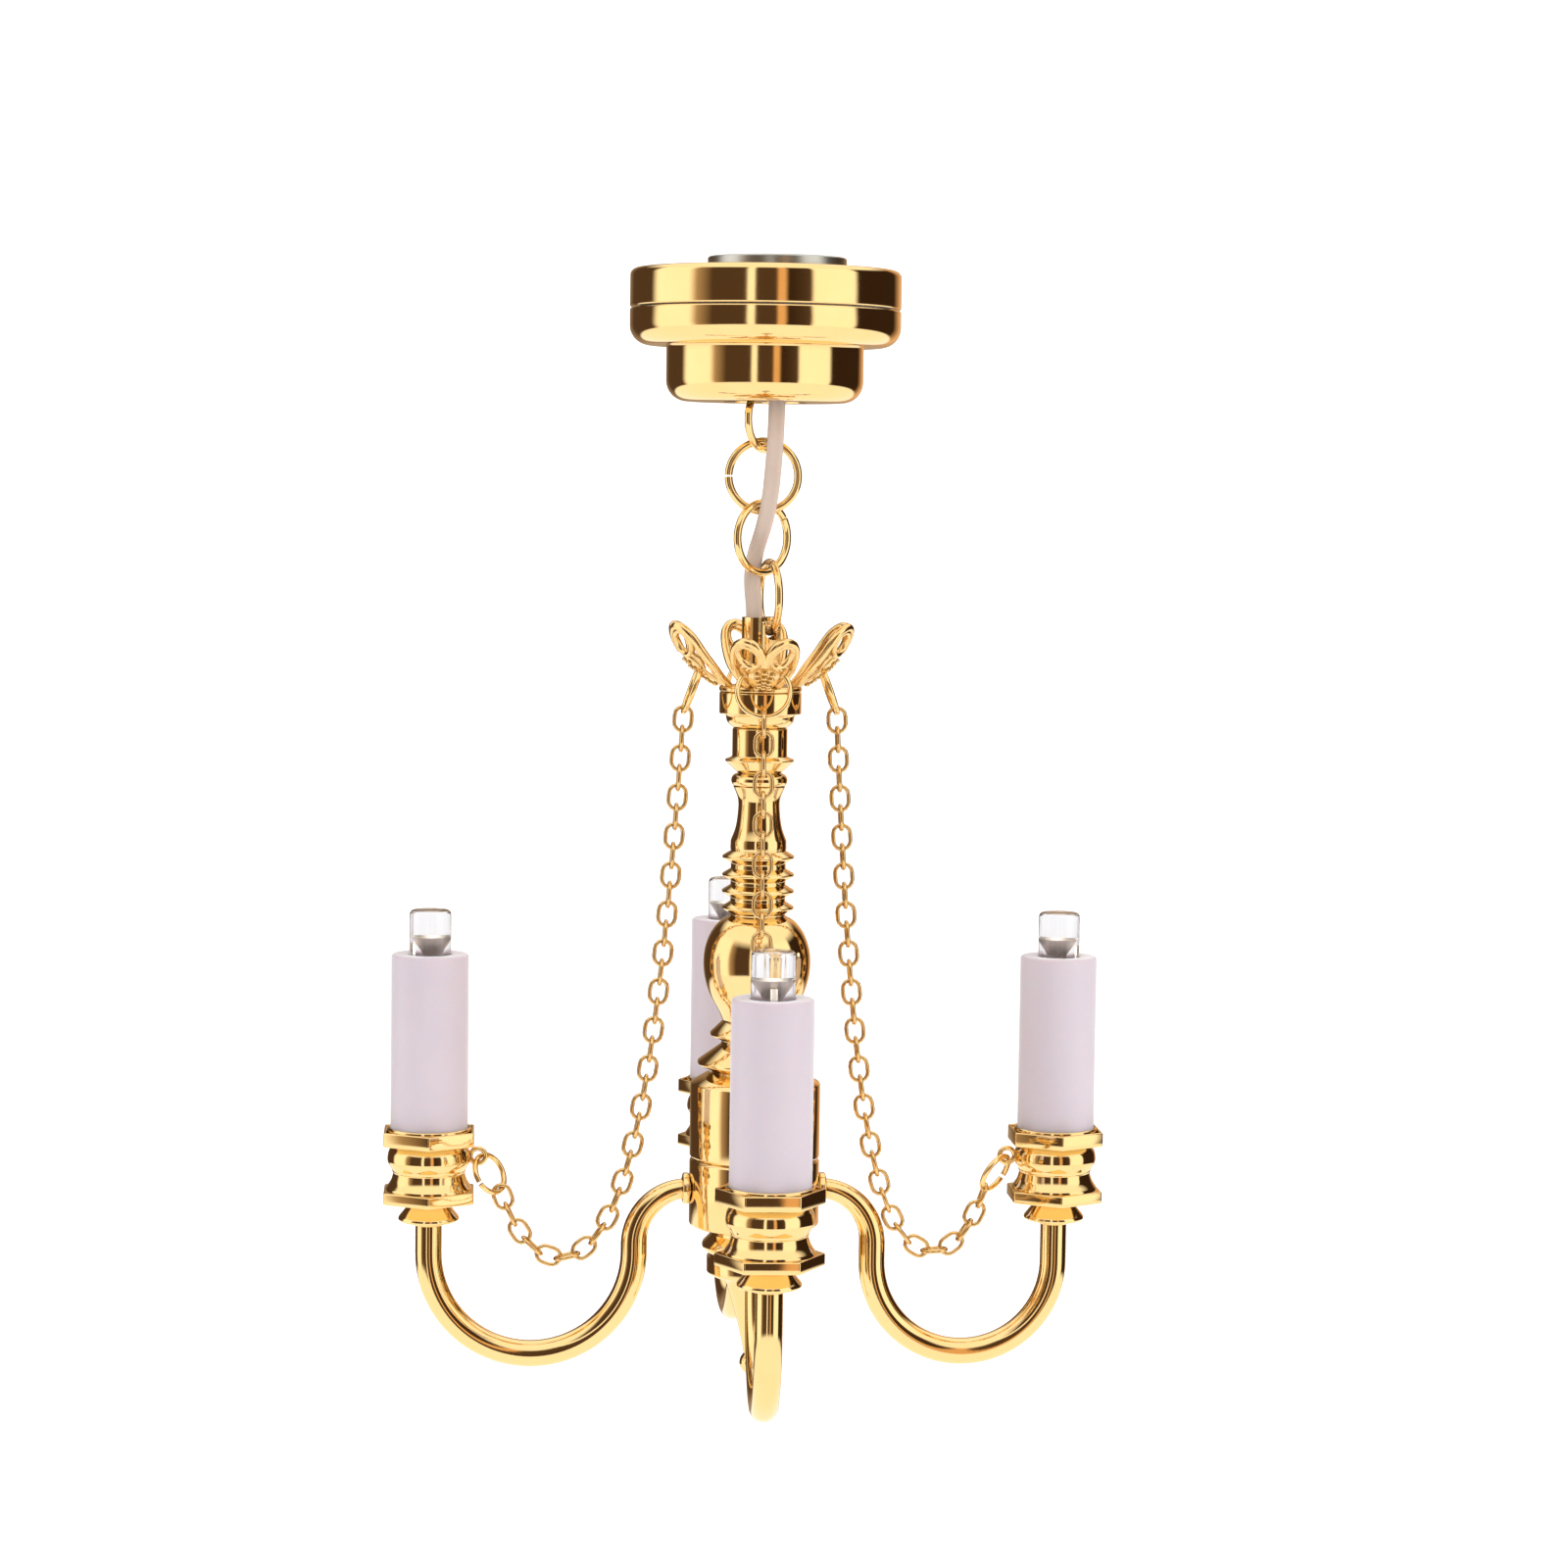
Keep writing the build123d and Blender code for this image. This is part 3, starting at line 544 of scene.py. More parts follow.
def turned_stem():
    bore = 1.25
    rings = [point for edge in (-43.2, -44.5, -45.7, -46.9) for point in
             [(2.0, edge + 0.45), (2.58, edge + 0.1), (2.64, edge), (2.58, edge - 0.1), (2.0, edge - 0.45)]]
    pieces = {
        "crown_collar":
            [(bore, -31.2), (2.9, -31.2), (2.975, -31.28), (2.975, -32.74), (2.9, -32.8), (2.55, -32.86)]
            + curve_through([(2.5, -32.95), (2.38, -33.4), (1.95, -33.78)], 6) + [(bore, -33.8)],
        "neck_bead":
            [(bore, -33.8), (1.9, -33.8), (2.0, -33.9), (2.0, -35.85), (2.1, -35.95), (2.5, -36.1),
             (2.52, -36.2), (1.5, -37.15)] + arc((1.55, -37.62), 0.5, 70, -70, 8) + [(bore, -38.05)],
        "vase":
            [(bore, -38.05)]
            + curve_through([(1.9, -38.05), (1.56, -38.9), (1.515, -39.7), (1.675, -41.0),
                             (2.03, -42.0)], 6)
            + [(2.05, -42.6)] + rings + [(2.0, -47.5), (bore, -47.5)],
        "ball":
            [(bore, -47.5)]
            + curve_through([(2.0, -47.5), (2.75, -47.95), (3.4, -48.8), (3.8, -49.9), (3.9, -51.0),
                             (3.78, -52.1), (3.4, -53.3), (2.8, -54.4), (2.45, -55.2)], 5)
            + [(bore, -55.2)],
        "skirt":
            [(bore, -55.2), (2.45, -55.2), (3.3, -56.02), (3.35, -56.12), (3.33, -56.28), (2.5, -56.66),
             (2.55, -56.9), (4.2, -58.12), (4.25, -58.22), (4.22, -58.4), (3.2, -58.85), (3.2, -59.0),
             (bore, -59.0)],
        "hub_upper":
            [(bore, -59.0), (3.45, -59.0), (4.68, -59.72), (4.75, -59.84), (4.75, -65.1),
             (4.66, -65.22), (4.58, -65.3), (4.05, -65.3), (4.05, -60.6), (bore, -60.6)],
        "hub_lower":
            [(bore, -69.5), (4.05, -69.5), (4.05, -65.3), (4.58, -65.3), (4.66, -65.4), (4.75, -65.5),
             (4.75, -70.05), (4.68, -70.2), (4.45, -70.3), (3.1, -70.3), (bore, -70.3)],
    }
    for node, outline in pieces.items():
        turned = turn_on_lathe(node + "_turned", outline, edge=0.04, closed=True)
        fit(turned, "lamp", "gold_plate", GOLD, node)
    drop = ([(0, -68.4), (1.2, -68.4), (1.2, -70.3), (3.1, -70.3), (3.1, -70.9), (3.7, -71.52),
             (3.76, -71.66), (3.76, -71.84), (3.68, -71.98), (3.2, -72.42), (3.2, -72.5), (3.4, -72.6),
             (3.4, -73.7), (3.3, -73.85)]
            + curve_through([(2.9, -74.05), (2.1, -74.35), (1.62, -75.6), (1.2, -77.1), (0.85, -78.6),
                             (0.6, -79.88)], 6) + arc((0, -80.55), 0.9, 48, -90, 12))
    fit(turn_on_lathe("drop_turned", drop, edge=0.04), "lamp", "gold_plate", GOLD, "finial")


# ---- crown --------------------------------------------------------------------------------------
def petal_spot(u, v, height):
    """A point on the bowed and cupped petal: u up it, v across it, height over its under face."""
    root = Vector((PETAL_ROOT[0], 0, PETAL_ROOT[1]))
    tip = Vector((PETAL_TIP[0], 0, PETAL_TIP[1]))
    chord = (tip - root).length
    rise = (tip - root).normalized()
    outward = Vector((rise.z, 0, -rise.x))
    bow = PETAL_SAG * 4 * (u / chord) * (1 - u / chord) - PETAL_CUP * (v / PETAL_HALF_WIDTH) ** 2
    return root + rise * u + outward * (bow - height) + Vector((0, v, 0))


def petal_field():
    """The hammered field in the middle of the petal, from its root to its cleft, drawn row by row."""
    rows = [(-0.3, 1.0), (0.4, 1.05), (1.1, 1.1), (1.8, 1.15), (2.5, 1.25), (3.1, 1.2), (3.6, 0.95),
            (4.1, 0.5), (4.75, 0.3)]
    clear_selection()
    bpy.ops.mesh.primitive_grid_add(x_subdivisions=len(rows) - 1, y_subdivisions=4, size=2 * MM)
    field = bpy.context.object
    field.name = "petal_field"
    for vertex in field.data.vertices:
        row = round((vertex.co.x / MM + 1) / 2 * (len(rows) - 1))
        u, half = rows[row]
        vertex.co = petal_spot(u, vertex.co.y / MM * half, 0.04) * MM
    bpy.ops.object.mode_set(mode="EDIT")
    bpy.ops.mesh.select_all(action="SELECT")
    bpy.ops.mesh.normals_make_consistent(inside=False)
    bpy.ops.mesh.extrude_region_shrink_fatten(TRANSFORM_OT_shrink_fatten={"value": -0.32 * MM})
    bpy.ops.object.mode_set(mode="OBJECT")
    clean(field)
    pick(field)
    rounding = field.modifiers.new("rounding", "SUBSURF")
    rounding.levels = rounding.render_levels = 2
    bpy.ops.object.modifier_apply(modifier=rounding.name)
    return smooth(field, 60)


def petal_granule(spot, size):
    """One soldered granule, a little wider than it is tall."""
    clear_selection()
    bpy.ops.mesh.primitive_uv_sphere_add(segments=10, ring_count=6, radius=size * MM, location=spot)
    bead = bpy.context.object
    bpy.ops.object.mode_set(mode="EDIT")
    bpy.ops.transform.resize(value=(1.0, 1.2, 0.85), center_override=spot)
    bpy.ops.object.mode_set(mode="OBJECT")
    return smooth(settle(bead), 60)


def petal():
    """One cast petal: its heart rim, its two lobe rings, its field, scrolls and granules."""
    over, under, mid = PETAL_T - 0.02, 0.02, PETAL_T / 2
    rim = [(0.0, 0.95), (0.7, 1.4), (1.7, 1.9), (2.9, 2.12), (4.1, 2.22), (5.0, 2.05), (5.7, 1.5),
           (5.8, 0.95), (5.4, 0.42), (4.8, 0.12), (4.1, 0.05)]
    eighths = [math.radians(45 * k) for k in range(8)]
    lobe = [(4.52 + 0.98 * math.cos(a), 1.14 + 0.84 * math.sin(a)) for a in eighths]
    scroll = [(2.1, 1.2), (2.6, 1.5), (3.1, 1.65), (3.5, 1.35), (3.6, 1.0)]
    granules = [(0.7, 0.45, 0.2), (1.3, 0.33, 0.17), (1.9, 0.36, 0.18), (2.5, 0.5, 0.2), (3.1, 0.55, 0.2),
                (2.2, 0.0, 0.18), (2.8, 0.0, 0.2), (3.45, 0.0, 0.2), (1.0, 0.0, 0.18), (1.6, 0.0, 0.15)]
    parts = [petal_field()]
    for side in (1, -1):
        for name, line, wire, cyclic in (("petal_rim", rim, PETAL_RIM_R, False),
                                         ("petal_lobe", lobe, PETAL_LOBE_R, True),
                                         ("petal_scroll", scroll, PETAL_SCROLL_R, False)):
            path = [petal_spot(u, side * v, mid) for u, v in line]
            parts.append(drawn_wire(name, path, wire, cyclic=cyclic))
        for height in (over, under):
            parts += [petal_granule(petal_spot(u, side * v, height) * MM, size)
                      for u, v, size in granules if v or side == 1]
    return joined("petal", parts)


def bend_out(piece, degrees):
    """Lean a petal further out about its root, as the front one is bent by hand."""
    pick(piece)
    bpy.ops.object.mode_set(mode="EDIT")
    bpy.ops.mesh.select_all(action="SELECT")
    bpy.ops.transform.rotate(value=-math.radians(degrees), orient_axis="Y", orient_type="GLOBAL",
                             center_override=(PETAL_ROOT[0] * MM, 0, PETAL_ROOT[1] * MM))
    bpy.ops.object.mode_set(mode="OBJECT")


def crown():
    """The crown: a pierced disc on the collar with four cast petals."""
    disc = [(1.5, -31.18), (2.9, -31.18), (3.0, -31.1), (3.0, -30.9), (2.9, -30.8), (2.4, -30.72),
            (1.5, -30.78)]
    disc = turn_on_lathe("crown_disc", disc, edge=0.03, closed=True)
    one = petal()
    petals = [copy_to_side(one, f"petal_{side}", side) for side in ("right", "back", "left")]
    bend_out(one, FRONT_PETAL_BEND)
    petals.append(copy_to_side(one, "petal_front", "front"))
    bpy.data.objects.remove(one)
    fit(joined("crown_set", [disc] + petals), "lamp", "gold_plate", GOLD_CAST, "crown")


# ---- arms and candles ---------------------------------------------------------------------------
def arm_tube(reach):
    """The arm: a disc spun round its bend as it swells, then dropped, spun round the U and raised."""
    clear_selection()
    bpy.ops.mesh.primitive_circle_add(vertices=24, radius=ARM_ROOT_R * MM, fill_type="NGON",
                                      location=(ARM_START_R * MM, 0, ARM_EXIT_Z * MM),
                                      rotation=(0, math.pi / 2, 0))
    tube = bpy.context.object
    tube.name = "arm_tube"
    settle(tube)
    bend_z = ARM_EXIT_Z - ARM_BEND_R
    bend_r = ARM_BEND_START + ARM_BEND_R
    radius = (reach - bend_r) / 2
    u_z = ARM_U_LOW + radius
    bpy.ops.object.mode_set(mode="EDIT")
    bpy.ops.mesh.select_all(action="SELECT")
    move = "TRANSFORM_OT_translate"
    bpy.ops.mesh.extrude_region_move(**{move: {"value": ((ARM_BEND_START - ARM_START_R) * MM, 0, 0)}})
    steps = 18
    swell = (ARM_TUBE_R / ARM_ROOT_R) ** (1 / steps)
    for step in range(1, steps + 1):
        bpy.ops.mesh.spin(steps=1, angle=-math.radians(90 / steps), axis=(0, 1, 0),
                          center=(ARM_BEND_START * MM, 0, bend_z * MM))
        turn = math.radians(90 * step / steps)
        spot = Vector((ARM_BEND_START + ARM_BEND_R * math.sin(turn), 0,
                       bend_z + ARM_BEND_R * math.cos(turn))) * MM
        bpy.ops.transform.resize(value=(swell, swell, swell), center_override=spot)
    bpy.ops.mesh.extrude_region_move(**{move: {"value": (0, 0, (u_z - bend_z) * MM)}})
    bpy.ops.mesh.spin(steps=48, angle=math.pi, axis=(0, 1, 0), center=((bend_r + radius) * MM, 0, u_z * MM))
    bpy.ops.mesh.extrude_region_move(**{move: {"value": (0, 0, (ARM_TOP_Z - u_z) * MM)}})
    bpy.ops.object.mode_set(mode="OBJECT")
    return smooth(clean(tube), 50)


def arm_collar():
    """The small bead where the arm leaves the hub."""
    outline = ([(0.6, 4.74), (1.05, 4.74), (1.15, 4.84), (1.15, 5.02)] + arc((1.0, 5.1), 0.15, 0, 80, 4)
               + [(0.7, 5.32)])
    collar = turn_on_lathe("arm_collar", outline, edge=0.02, steps=40)
    lie_down = Matrix.Rotation(math.pi / 2, 4, "Y")
    collar.data.transform(Matrix.Translation((0, 0, ARM_EXIT_Z * MM)) @ lie_down)
    return collar


def hex_plate(name, top, bottom, recess):
    """A six-sided plate with broken edges and, if recess is set, a six-sided recess sunk into its top."""
    clear_selection()
    height = (top - bottom) * MM
    bpy.ops.mesh.primitive_cylinder_add(vertices=6, radius=HEX_ACROSS_FLATS / math.sqrt(3) * MM,
                                        depth=height, location=(0, 0, (top + bottom) / 2 * MM))
    plate = bpy.context.object
    plate.name = name
    settle(plate)
    if recess:
        bpy.ops.object.mode_set(mode="EDIT")
        bpy.ops.mesh.select_all(action="DESELECT")
        bpy.ops.object.mode_set(mode="OBJECT")
        for face in plate.data.polygons:
            face.select = face.normal.z > 0.9
        bpy.ops.object.mode_set(mode="EDIT")
        bpy.ops.mesh.select_mode(type="FACE")
        bpy.ops.mesh.inset(thickness=0.22 * MM)
        bpy.ops.mesh.extrude_region_move(TRANSFORM_OT_translate={"value": (0, 0, -0.25 * MM)})
        bpy.ops.mesh.select_mode(type="VERT")
        bpy.ops.object.mode_set(mode="OBJECT")
    round_edges(plate, 0.1, 3)
    return smooth(plate, 30)


def candle_cup():
    """The bulb between its two plates, the neck rings and the side loop."""
    body = ([(0.5, -67.66), (3.1, -67.66), (3.1, -67.48)]
            + curve_through([(3.05, -67.4), (2.76, -66.95), (2.6, -66.45)], 5)
            + [(2.6, -66.34), (2.66, -66.26), (2.66, -66.16)]
            + curve_through([(2.7, -66.08), (2.97, -65.6), (3.0, -65.2), (2.9, -64.75), (2.62, -64.36)], 6)
            + [(2.62, -64.2), (0.5, -64.2)])
    bulb = turn_on_lathe("cup_bulb", body, edge=0.03, steps=64, closed=True)
    rim = [(2.84, -63.5), (2.84, -63.1), (2.92, -63.02), (3.02, -63.1), (3.05, -63.5)]
    rim = turn_on_lathe("cup_rim", rim, edge=0.02, steps=64, closed=True)
    upper = hex_plate("cup_upper_plate", -63.2, -64.25, True)
    lower = hex_plate("cup_lower_plate", -67.6, -68.45, False)
    loop = wire_ring("cup_loop", (-LOOP_IN, 0, LOOP_Z), (0, 1, 0), (1, 0, 0), LOOP_R, LOOP_WIRE_R, steps=24,
                     round_steps=10)
    return joined("candle_cup_set", [bulb, rim, upper, lower, loop])


def bell():
    outline = [(0.5, -68.45), (1.35, -68.45), (1.35, -68.6), (2.13, -69.56), (2.2, -69.68), (2.2, -69.8),
               (2.1, -69.92), (1.3, -70.02), (1.25, -70.16), (1.08, -70.24), (0.96, -70.2), (0.96, -69.6),
               (0.5, -69.6)]
    return turn_on_lathe("bell_turned", outline, edge=0.03, steps=56, closed=True)


def sleeve():
    outline = ([(2.3, -63.6), (2.8, -63.6), (2.8, -50.62)] + arc((2.6, -50.6), 0.2, 0, 90, 5)
               + [(1.62, -50.4), (1.55, -50.46), (1.52, -50.55), (1.52, -51.0), (2.3, -51.0)])
    return turn_on_lathe("candle_tube", outline, edge=0.02, steps=64, closed=True)


def light():
    """The clear flat-topped light and, inside it, its cup and post."""
    lens = ([(0, -47.2), (1.15, -47.2)] + arc((1.2, -47.5), 0.3, 90, 0, 6)
            + [(1.5, -51.0), (1.72, -51.0), (1.75, -51.05), (1.75, -52.0), (0, -52.0)])
    lens = turn_on_lathe("light_lens", lens, edge=0.0, steps=48)
    cup = [(0, -49.9), (0.35, -49.9), (1.0, -49.1), (1.06, -49.14), (0.55, -50.15), (0.42, -50.5),
           (0.42, -51.6), (0, -51.6)]
    cup = turn_on_lathe("light_cup", cup, at=(-0.1, 0), edge=0.02, steps=32)
    clear_selection()
    bpy.ops.mesh.primitive_cube_add(size=1, location=(1.0 * MM, 0, -50.6 * MM))
    post = bpy.context.object
    bpy.ops.object.mode_set(mode="EDIT")
    bpy.ops.transform.resize(value=(0.4 * MM, 0.45 * MM, 2.0 * MM))
    bpy.ops.object.mode_set(mode="OBJECT")
    settle(post)
    round_edges(post, 0.08, 2)
    return lens, joined("light_frame_set", [cup, smooth(post)])


def arms_and_candles():
    """Each side's arm to its own reach, and the candle's pieces copied to the end of it."""
    collar = arm_collar()
    for side, (_, reach, _) in SIDES.items():
        tube = joined("arm_set", [arm_tube(reach), copy_to_side(collar, "collar", "right")])
        fit(copy_to_side(tube, f"arm_set_{side}", side), "lamp", "gold_plate", GOLD, f"arm_{side}")
        bpy.data.objects.remove(tube)
    bpy.data.objects.remove(collar)
    lens, inner = light()
    makes = [
        (bell(), "bell", "gold_plate", GOLD),
        (candle_cup(), "candle_cup", "gold_plate", GOLD),
        (sleeve(), "candle_sleeve", "candle_plastic", CANDLE),
        (lens, "led", "led_epoxy", EPOXY),
        (inner, None, "contact_metal", ANVIL),
    ]
    for master, node, slot, material in makes:
        for side, (_, reach, _) in SIDES.items():
            twin = copy_to_side(master, f"{master.name}_{side}", side, reach)
            fit(twin, "lamp", slot, material, *([f"{node}_{side}"] if node else []))
        bpy.data.objects.remove(master)


# ---- swags --------------------------------------------------------------------------------------
def lean(degrees):
    """A downward direction that leans outward by so many degrees."""
    angle = math.radians(degrees)
    return Vector((math.sin(angle), 0, -math.cos(angle)))


def hanging_curve(start, end, length):
    """The catenary of that length between two points: a function from arc length to a point."""
    across, drop = end.x - start.x, end.z - start.z
    target = math.sqrt(length**2 - drop**2)
    low, high = 0.2, 100.0
    while high - low > 1e-9:
        scale = (low + high) / 2
        if 2 * scale * math.sinh(across / (2 * scale)) > target:
            low = scale
        else:
            high = scale
    middle = (start.x + end.x) / 2 - scale * math.atanh(drop / length)
    base = start.z - scale * math.cosh((start.x - middle) / scale)
    first = scale * math.sinh((start.x - middle) / scale)

    def point(along):
        x = middle + scale * math.asinh((along + first) / scale)
        return Vector((x, 0, base + scale * math.cosh((x - middle) / scale)))

    return point


def oval_link():
    """One oval link: an eight-sided section spun round one end, drawn straight, spun round the other."""
    radius, half = LINK_WIDTH / 2 - LINK_WIRE_R, (LINK_LEN - LINK_WIDTH) / 2
    clear_selection()
    bpy.ops.mesh.primitive_circle_add(vertices=8, radius=LINK_WIRE_R * MM, rotation=(0, math.pi / 2, 0),
                                      location=(half * MM, radius * MM, 0))
    link = settle(bpy.context.object)
    bpy.ops.object.mode_set(mode="EDIT")
    bpy.ops.mesh.select_all(action="SELECT")
    bpy.ops.mesh.spin(steps=7, angle=math.pi, center=(half * MM, 0, 0), axis=(0, 0, 1))
    bpy.ops.mesh.extrude_region_move(TRANSFORM_OT_translate={"value": (-2 * half * MM, 0, 0)})
    bpy.ops.mesh.spin(steps=7, angle=math.pi, center=(-half * MM, 0, 0), axis=(0, 0, 1))
    bpy.ops.mesh.extrude_region_move(TRANSFORM_OT_translate={"value": (2 * half * MM, 0, 0)})
    bpy.ops.object.mode_set(mode="OBJECT")
    return smooth(clean(link, 1e-6), 80)


def end_ring_middle(reach):
    """The middle of the ring that hangs from the cup's loop."""
    drop = END_RING_R + LOOP_R - LOOP_WIRE_R - END_RING_WIRE_R - LOOP_SLACK
    return Vector((reach - LOOP_IN, 0, LOOP_Z)) + lean(END_RING_LEAN) * drop


def swag_links(master, reach, count):
    """The links end to end along the hanging curve, each turned a quarter from the last."""
    top_hook = Vector((TOP_RING_AT[0], 0, TOP_RING_AT[1])) + lean(TOP_RING_LEAN) * TOP_RING_R
    end_hook = end_ring_middle(reach) + lean(END_RING_LEAN) * END_RING_R
    pitch = LINK_LEN - 4 * LINK_WIRE_R - LINK_SLACK
    first = LINK_LEN / 2 - 2 * LINK_WIRE_R - LINK_SLACK / 2 + pitch / 2
    top_step, end_step = first - TOP_RING_WIRE_R, first - END_RING_WIRE_R
    point = hanging_curve(top_hook, end_hook, top_step + (count - 2) * pitch + end_step)
    stops = [top_hook] + [point(top_step + pitch * index) for index in range(count - 1)] + [end_hook]
    links = []
    for index, (before, after) in enumerate(zip(stops, stops[1:])):
        along = (after - before).normalized()
        centre = (before + after) / 2
        if index == 0:
            centre = after - along * (pitch / 2)
        elif index == count - 1:
            centre = before + along * (pitch / 2)
        flat = Vector((0, 1, 0)) if index % 2 == 0 else along.cross(Vector((0, 1, 0)))
        turn = Matrix((along, flat.cross(along), flat)).transposed().to_4x4()
        twin = master.copy()
        twin.data = master.data.copy()
        bpy.context.collection.objects.link(twin)
        twin.data.transform(Matrix.Translation(centre * MM) @ turn)
        links.append(twin)
    return joined("swag_links", links)


def swag_rings():
    """The open ring through the petal and the open ring on the cup's loop, for a reach of nothing."""
    top_down, end_down = lean(TOP_RING_LEAN), lean(END_RING_LEAN)
    top_ring = wire_ring("swag_top_wire", (TOP_RING_AT[0], 0, TOP_RING_AT[1]), (top_down.z, 0, -top_down.x),
                         -top_down, TOP_RING_R, TOP_RING_WIRE_R, gap=8.0, steps=40, round_steps=12)
    bend = math.radians(END_RING_TURN)
    across = Vector((end_down.z, 0, -end_down.x))
    normal = Vector((0, 1, 0)) * math.cos(bend) + across * math.sin(bend)
    end_ring = wire_ring("swag_end_wire", end_ring_middle(0.0), normal, end_down.cross(normal), END_RING_R,
                         END_RING_WIRE_R, gap=9.0, steps=36, round_steps=12)
    return top_ring, end_ring


def swags():
    """Each side's chain on its own body, and the rings at its two ends on the lamp."""
    link = oval_link()
    top_ring, end_ring = swag_rings()
    for side, (_, reach, count) in SIDES.items():
        chain = swag_links(link, reach, count)
        links = copy_to_side(chain, f"swag_links_{side}", side)
        fit(links, f"swag_{side}", "gold_plate", GOLD_CHAIN, f"swag_chain_{side}")
        bpy.data.objects.remove(chain)
        top = copy_to_side(top_ring, f"swag_top_wire_{side}", side)
        fit(top, "lamp", "gold_plate", GOLD, f"swag_top_ring_{side}")
        end = copy_to_side(end_ring, f"swag_end_wire_{side}", side, reach)
        fit(end, "lamp", "gold_plate", GOLD, f"swag_end_ring_{side}")
    for master in (link, top_ring, end_ring):
        bpy.data.objects.remove(master)


# ---- inner frame pieces -------------------------------------------------------------------------
def inner_pieces():
    """Materials of the frame's own pieces that stay as they are."""
    finishes = {"gold_plate": GOLD, "magnet": MAGNET, "cell_steel": STEEL, "contact_metal": TINNED,
                "tray_plastic": TRAY, "lead_pvc": LEAD_SKIN, "wire_pvc": WIRE_SKIN,
                "candle_plastic": CANDLE, "led_epoxy": EPOXY}
    slots = {part["node"]: part["material_slot"] for part in frame["record"]["subparts"]}
    for node, slot in slots.items():
        for holder in bpy.data.objects[node].material_slots:
            holder.material = finishes[slot]


# ---- studio -------------------------------------------------------------------------------------
def studio():
    """A pale sweep under and behind the lamp, and soft lights from both sides and above."""
    floor_z, back_y, curve_r, wall = -0.34, 1.2, 0.5, 1.4
    clear_selection()
    bpy.ops.mesh.primitive_plane_add(size=2 * back_y, location=(0, 0, floor_z))
    sweep = bpy.context.object
    sweep.name = "studio_sweep"
    settle(sweep)
    bpy.ops.object.mode_set(mode="EDIT")
    bpy.ops.mesh.select_all(action="DESELECT")
    bpy.ops.object.mode_set(mode="OBJECT")
    for edge in sweep.data.edges:
        edge.select = all(sweep.data.vertices[v].co.y > 1.0 for v in edge.vertices)
    bpy.ops.object.mode_set(mode="EDIT")
    bpy.ops.mesh.select_mode(type="EDGE")
    bpy.ops.mesh.spin(steps=12, angle=-math.pi / 2, center=(0, back_y, floor_z + curve_r), axis=(1, 0, 0))
    bpy.ops.mesh.extrude_region_move(TRANSFORM_OT_translate={"value": (0, 0, wall)})
    bpy.ops.mesh.select_mode(type="VERT")
    bpy.ops.object.mode_set(mode="OBJECT")
    smooth(sweep, 60)
    coat(sweep, finish("pale_paper", (0.97, 0.97, 0.97), 0.0, 0.9, 0.05, 20.0, 0.0,
                       shade=(0.95, 0.95, 0.95), Emission_Color=(1, 1, 1, 1), Emission_Strength=0.45))
    sweep.visible_glossy = False
    sweep.visible_transmission = False
    for label, place, size, power in (("left", (-0.45, -0.4, 0.15), 0.3, 1.2),
                                      ("right", (0.5, -0.2, 0.1), 0.3, 1.5),
                                      ("top", (0.0, 0.0, 0.5), 0.5, 1.0)):
        clear_selection()
        bpy.ops.object.light_add(type="AREA", location=place)
        lamp = bpy.context.object
        lamp.name = "studio_" + label
        lamp.data.size = size
        lamp.data.energy = power
        lamp.visible_glossy = False
        aim = Vector((0, 0, -0.04)) - Vector(place)
        lamp.rotation_euler = aim.to_track_quat("-Z", "Y").to_euler()


def colour_stops(ramp, stops):
    """Set a colour ramp's stops, each a place from 0 to 1 and its level."""
    while len(ramp.elements) < len(stops):
        ramp.elements.new(1.0)
    for element, (spot, level) in zip(ramp.elements, stops):
        element.position = spot
        element.color = (*level, 1)


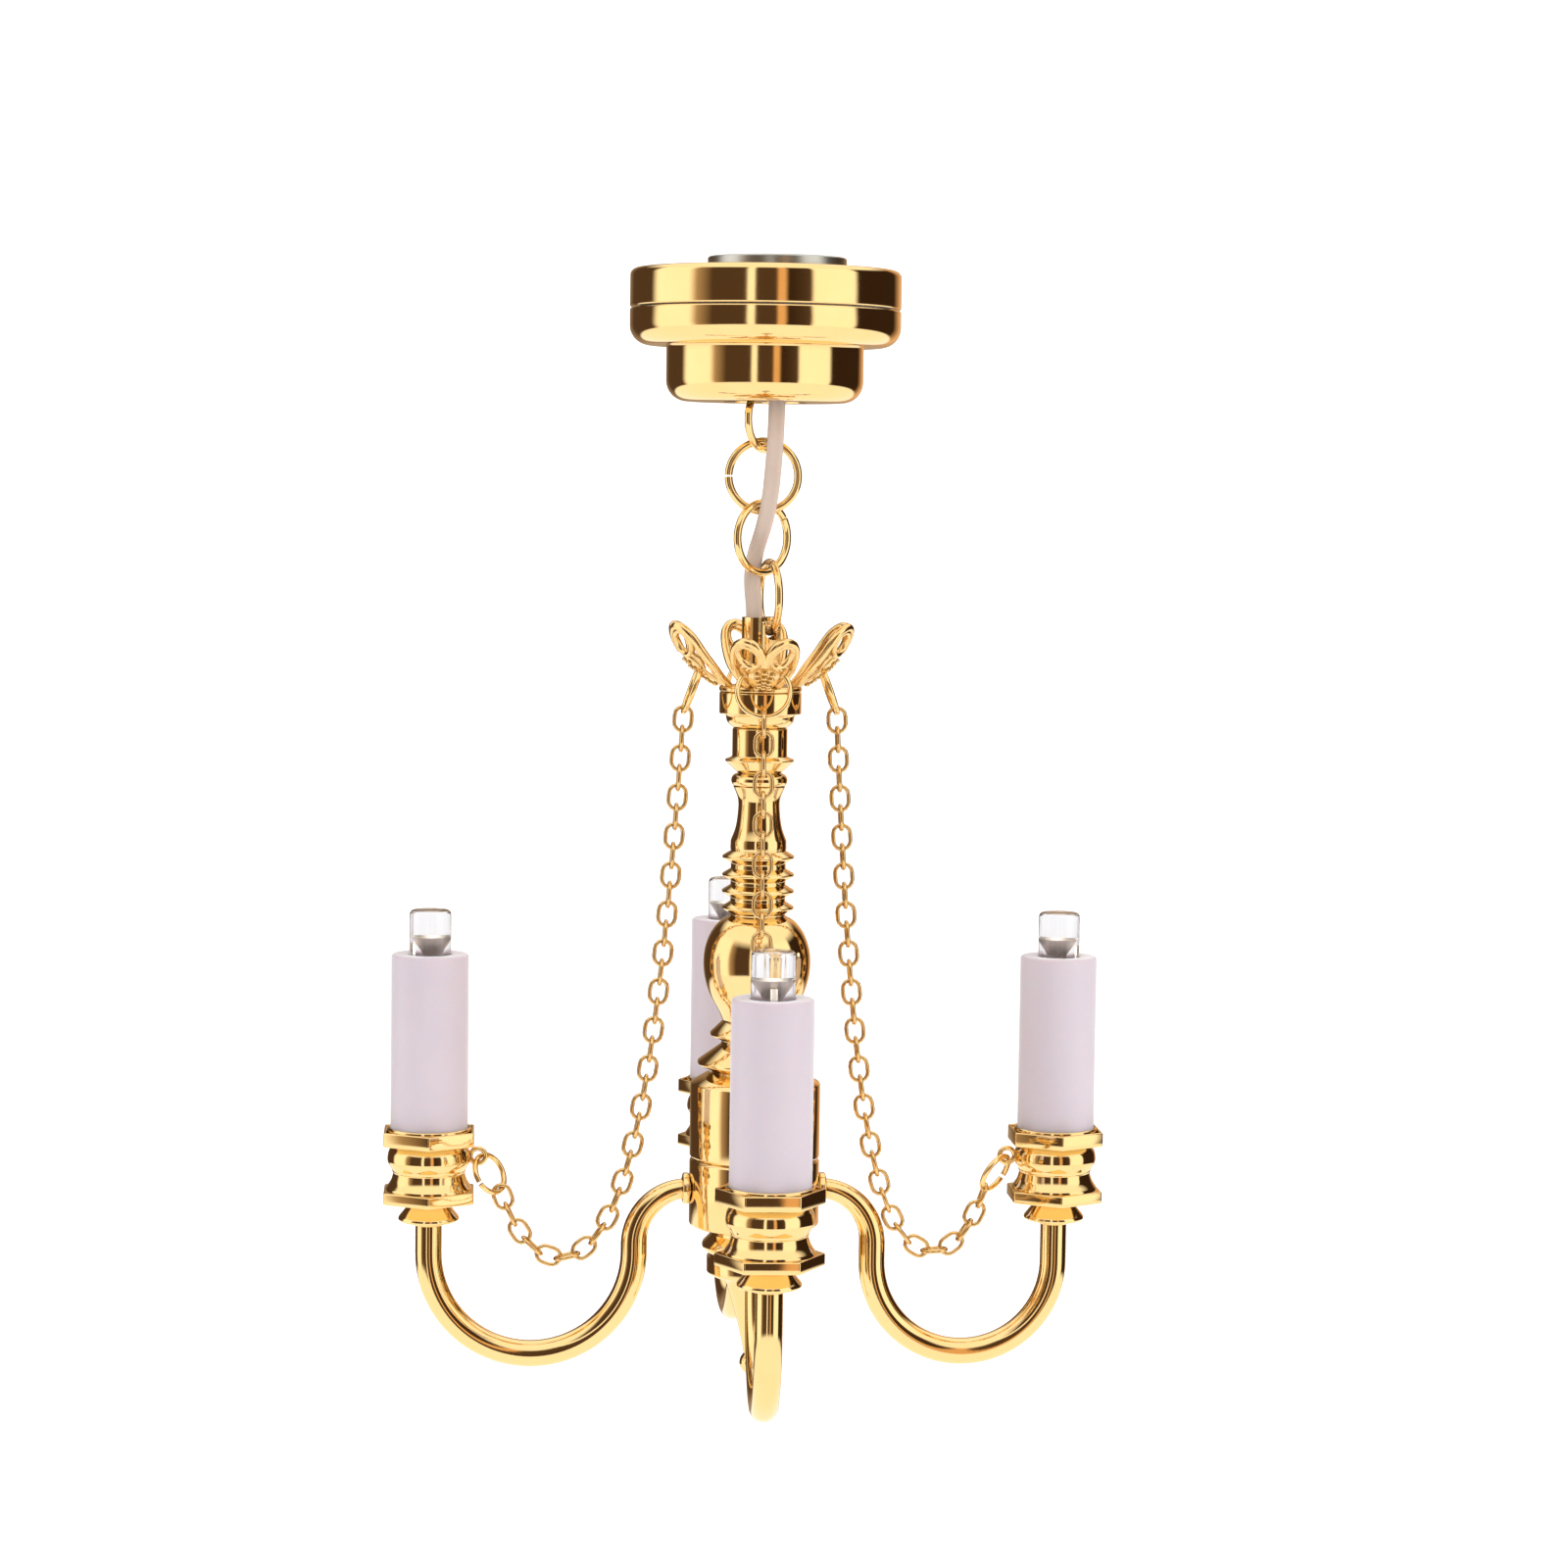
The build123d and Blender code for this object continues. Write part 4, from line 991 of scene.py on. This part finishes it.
def room():
    """The light from all round: pale above and below, lit panels and dark walls for the gold to mirror."""
    world = bpy.data.worlds.new("soft_room")
    bpy.context.scene.world = world
    world.use_nodes = True
    nodes, links = world.node_tree.nodes, world.node_tree.links
    nodes.clear()

    def sum_of(kind, first, second, third=None):
        node = nodes.new("ShaderNodeMath")
        node.operation = kind
        for socket, value in zip(node.inputs, (first, second, third)):
            if isinstance(value, (int, float)):
                socket.default_value = value
            elif value is not None:
                links.new(value, socket)
        return node.outputs[0]

    def blend(amount, first, second):
        node = nodes.new("ShaderNodeMix")
        node.data_type = "RGBA"
        for socket, value in zip((node.inputs[0], node.inputs[6], node.inputs[7]), (amount, first, second)):
            if isinstance(value, tuple):
                socket.default_value = (*value, 1)
            else:
                links.new(value, socket)
        return node.outputs[2]

    place = nodes.new("ShaderNodeTexCoord")
    split = nodes.new("ShaderNodeSeparateXYZ")
    links.new(place.outputs["Generated"], split.inputs[0])
    east, north, up = split.outputs
    # the turn to the right of the way to the camera, from -180 to 180 degrees, as 0 to 1
    turn = sum_of("ARCTAN2", sum_of("ADD", east, sum_of("MULTIPLY", north, -VIEW_SLANT)),
                  sum_of("SUBTRACT", sum_of("MULTIPLY", north, -1.0), sum_of("MULTIPLY", east, VIEW_SLANT)))
    walls = nodes.new("ShaderNodeValToRGB")
    bands = ((-180, MID), (-150, DARK), (-112, DARK), (-103, LIT), (-68, LIT), (-60, MID), (-46, DARK),
             (-17, DARK), (-14, LIT), (-10, LIT), (-8, DARK), (9, DARK), (11, WARM), (16, WARM),
             (19, BLACK), (38, DARK), (42, LIT), (80, LIT), (85, BLACK), (140, BLACK), (162, WARM), (180, MID))
    colour_stops(walls.color_ramp, [((degrees + 180) / 360, level) for degrees, level in bands])
    links.new(sum_of("MULTIPLY_ADD", turn, 1 / (2 * math.pi), 0.5), walls.inputs[0])
    height = nodes.new("ShaderNodeValToRGB")
    pale, clear = (1, 1, 1), (0, 0, 0)
    colour_stops(height.color_ramp, [(0.0, pale), (0.335, pale), (0.36, clear), (0.72, clear),
                                     (0.82, pale), (1.0, pale)])
    links.new(sum_of("MULTIPLY_ADD", up, 0.5, 0.5), height.inputs[0])
    mirrored = blend(height.outputs[0], walls.outputs[0], TABLE)
    seen = nodes.new("ShaderNodeLightPath")
    soft = blend(seen.outputs["Is Diffuse Ray"], mirrored, SOFT)
    plain = sum_of("MAXIMUM", seen.outputs["Is Camera Ray"], seen.outputs["Is Transmission Ray"])
    glow = nodes.new("ShaderNodeBackground")
    links.new(blend(plain, soft, (1.0, 1.0, 1.0)), glow.inputs["Color"])
    out = nodes.new("ShaderNodeOutputWorld")
    links.new(glow.outputs[0], out.inputs["Surface"])
    bpy.context.scene.view_settings.view_transform = "Standard"


def camera():
    """A long lens at the height of the hanger, turned a little to the left, with a slight lean."""
    distance, turn, height, roll = 266.0, math.radians(-4.4), -16.4, math.radians(0.8)
    place = Vector((distance * math.sin(turn), -distance * math.cos(turn), height)) * MM
    aim = Vector((1.8, 0, -37.9)) * MM
    data = bpy.data.cameras.new("studio_camera")
    data.sensor_width = 36.0
    data.lens = 84.4
    data.clip_start = 0.01
    holder = bpy.data.objects.new("studio_camera", data)
    bpy.context.collection.objects.link(holder)
    facing = (aim - place).to_track_quat("-Z", "Y").to_matrix().to_4x4()
    holder.matrix_world = Matrix.Translation(place) @ facing @ Matrix.Rotation(roll, 4, "Z")
    bpy.context.scene.camera = holder


camera()
room()
studio()
canopy()
hanger()
flat_lead()
top_tube()
turned_stem()
crown()
arms_and_candles()
swags()
inner_pieces()
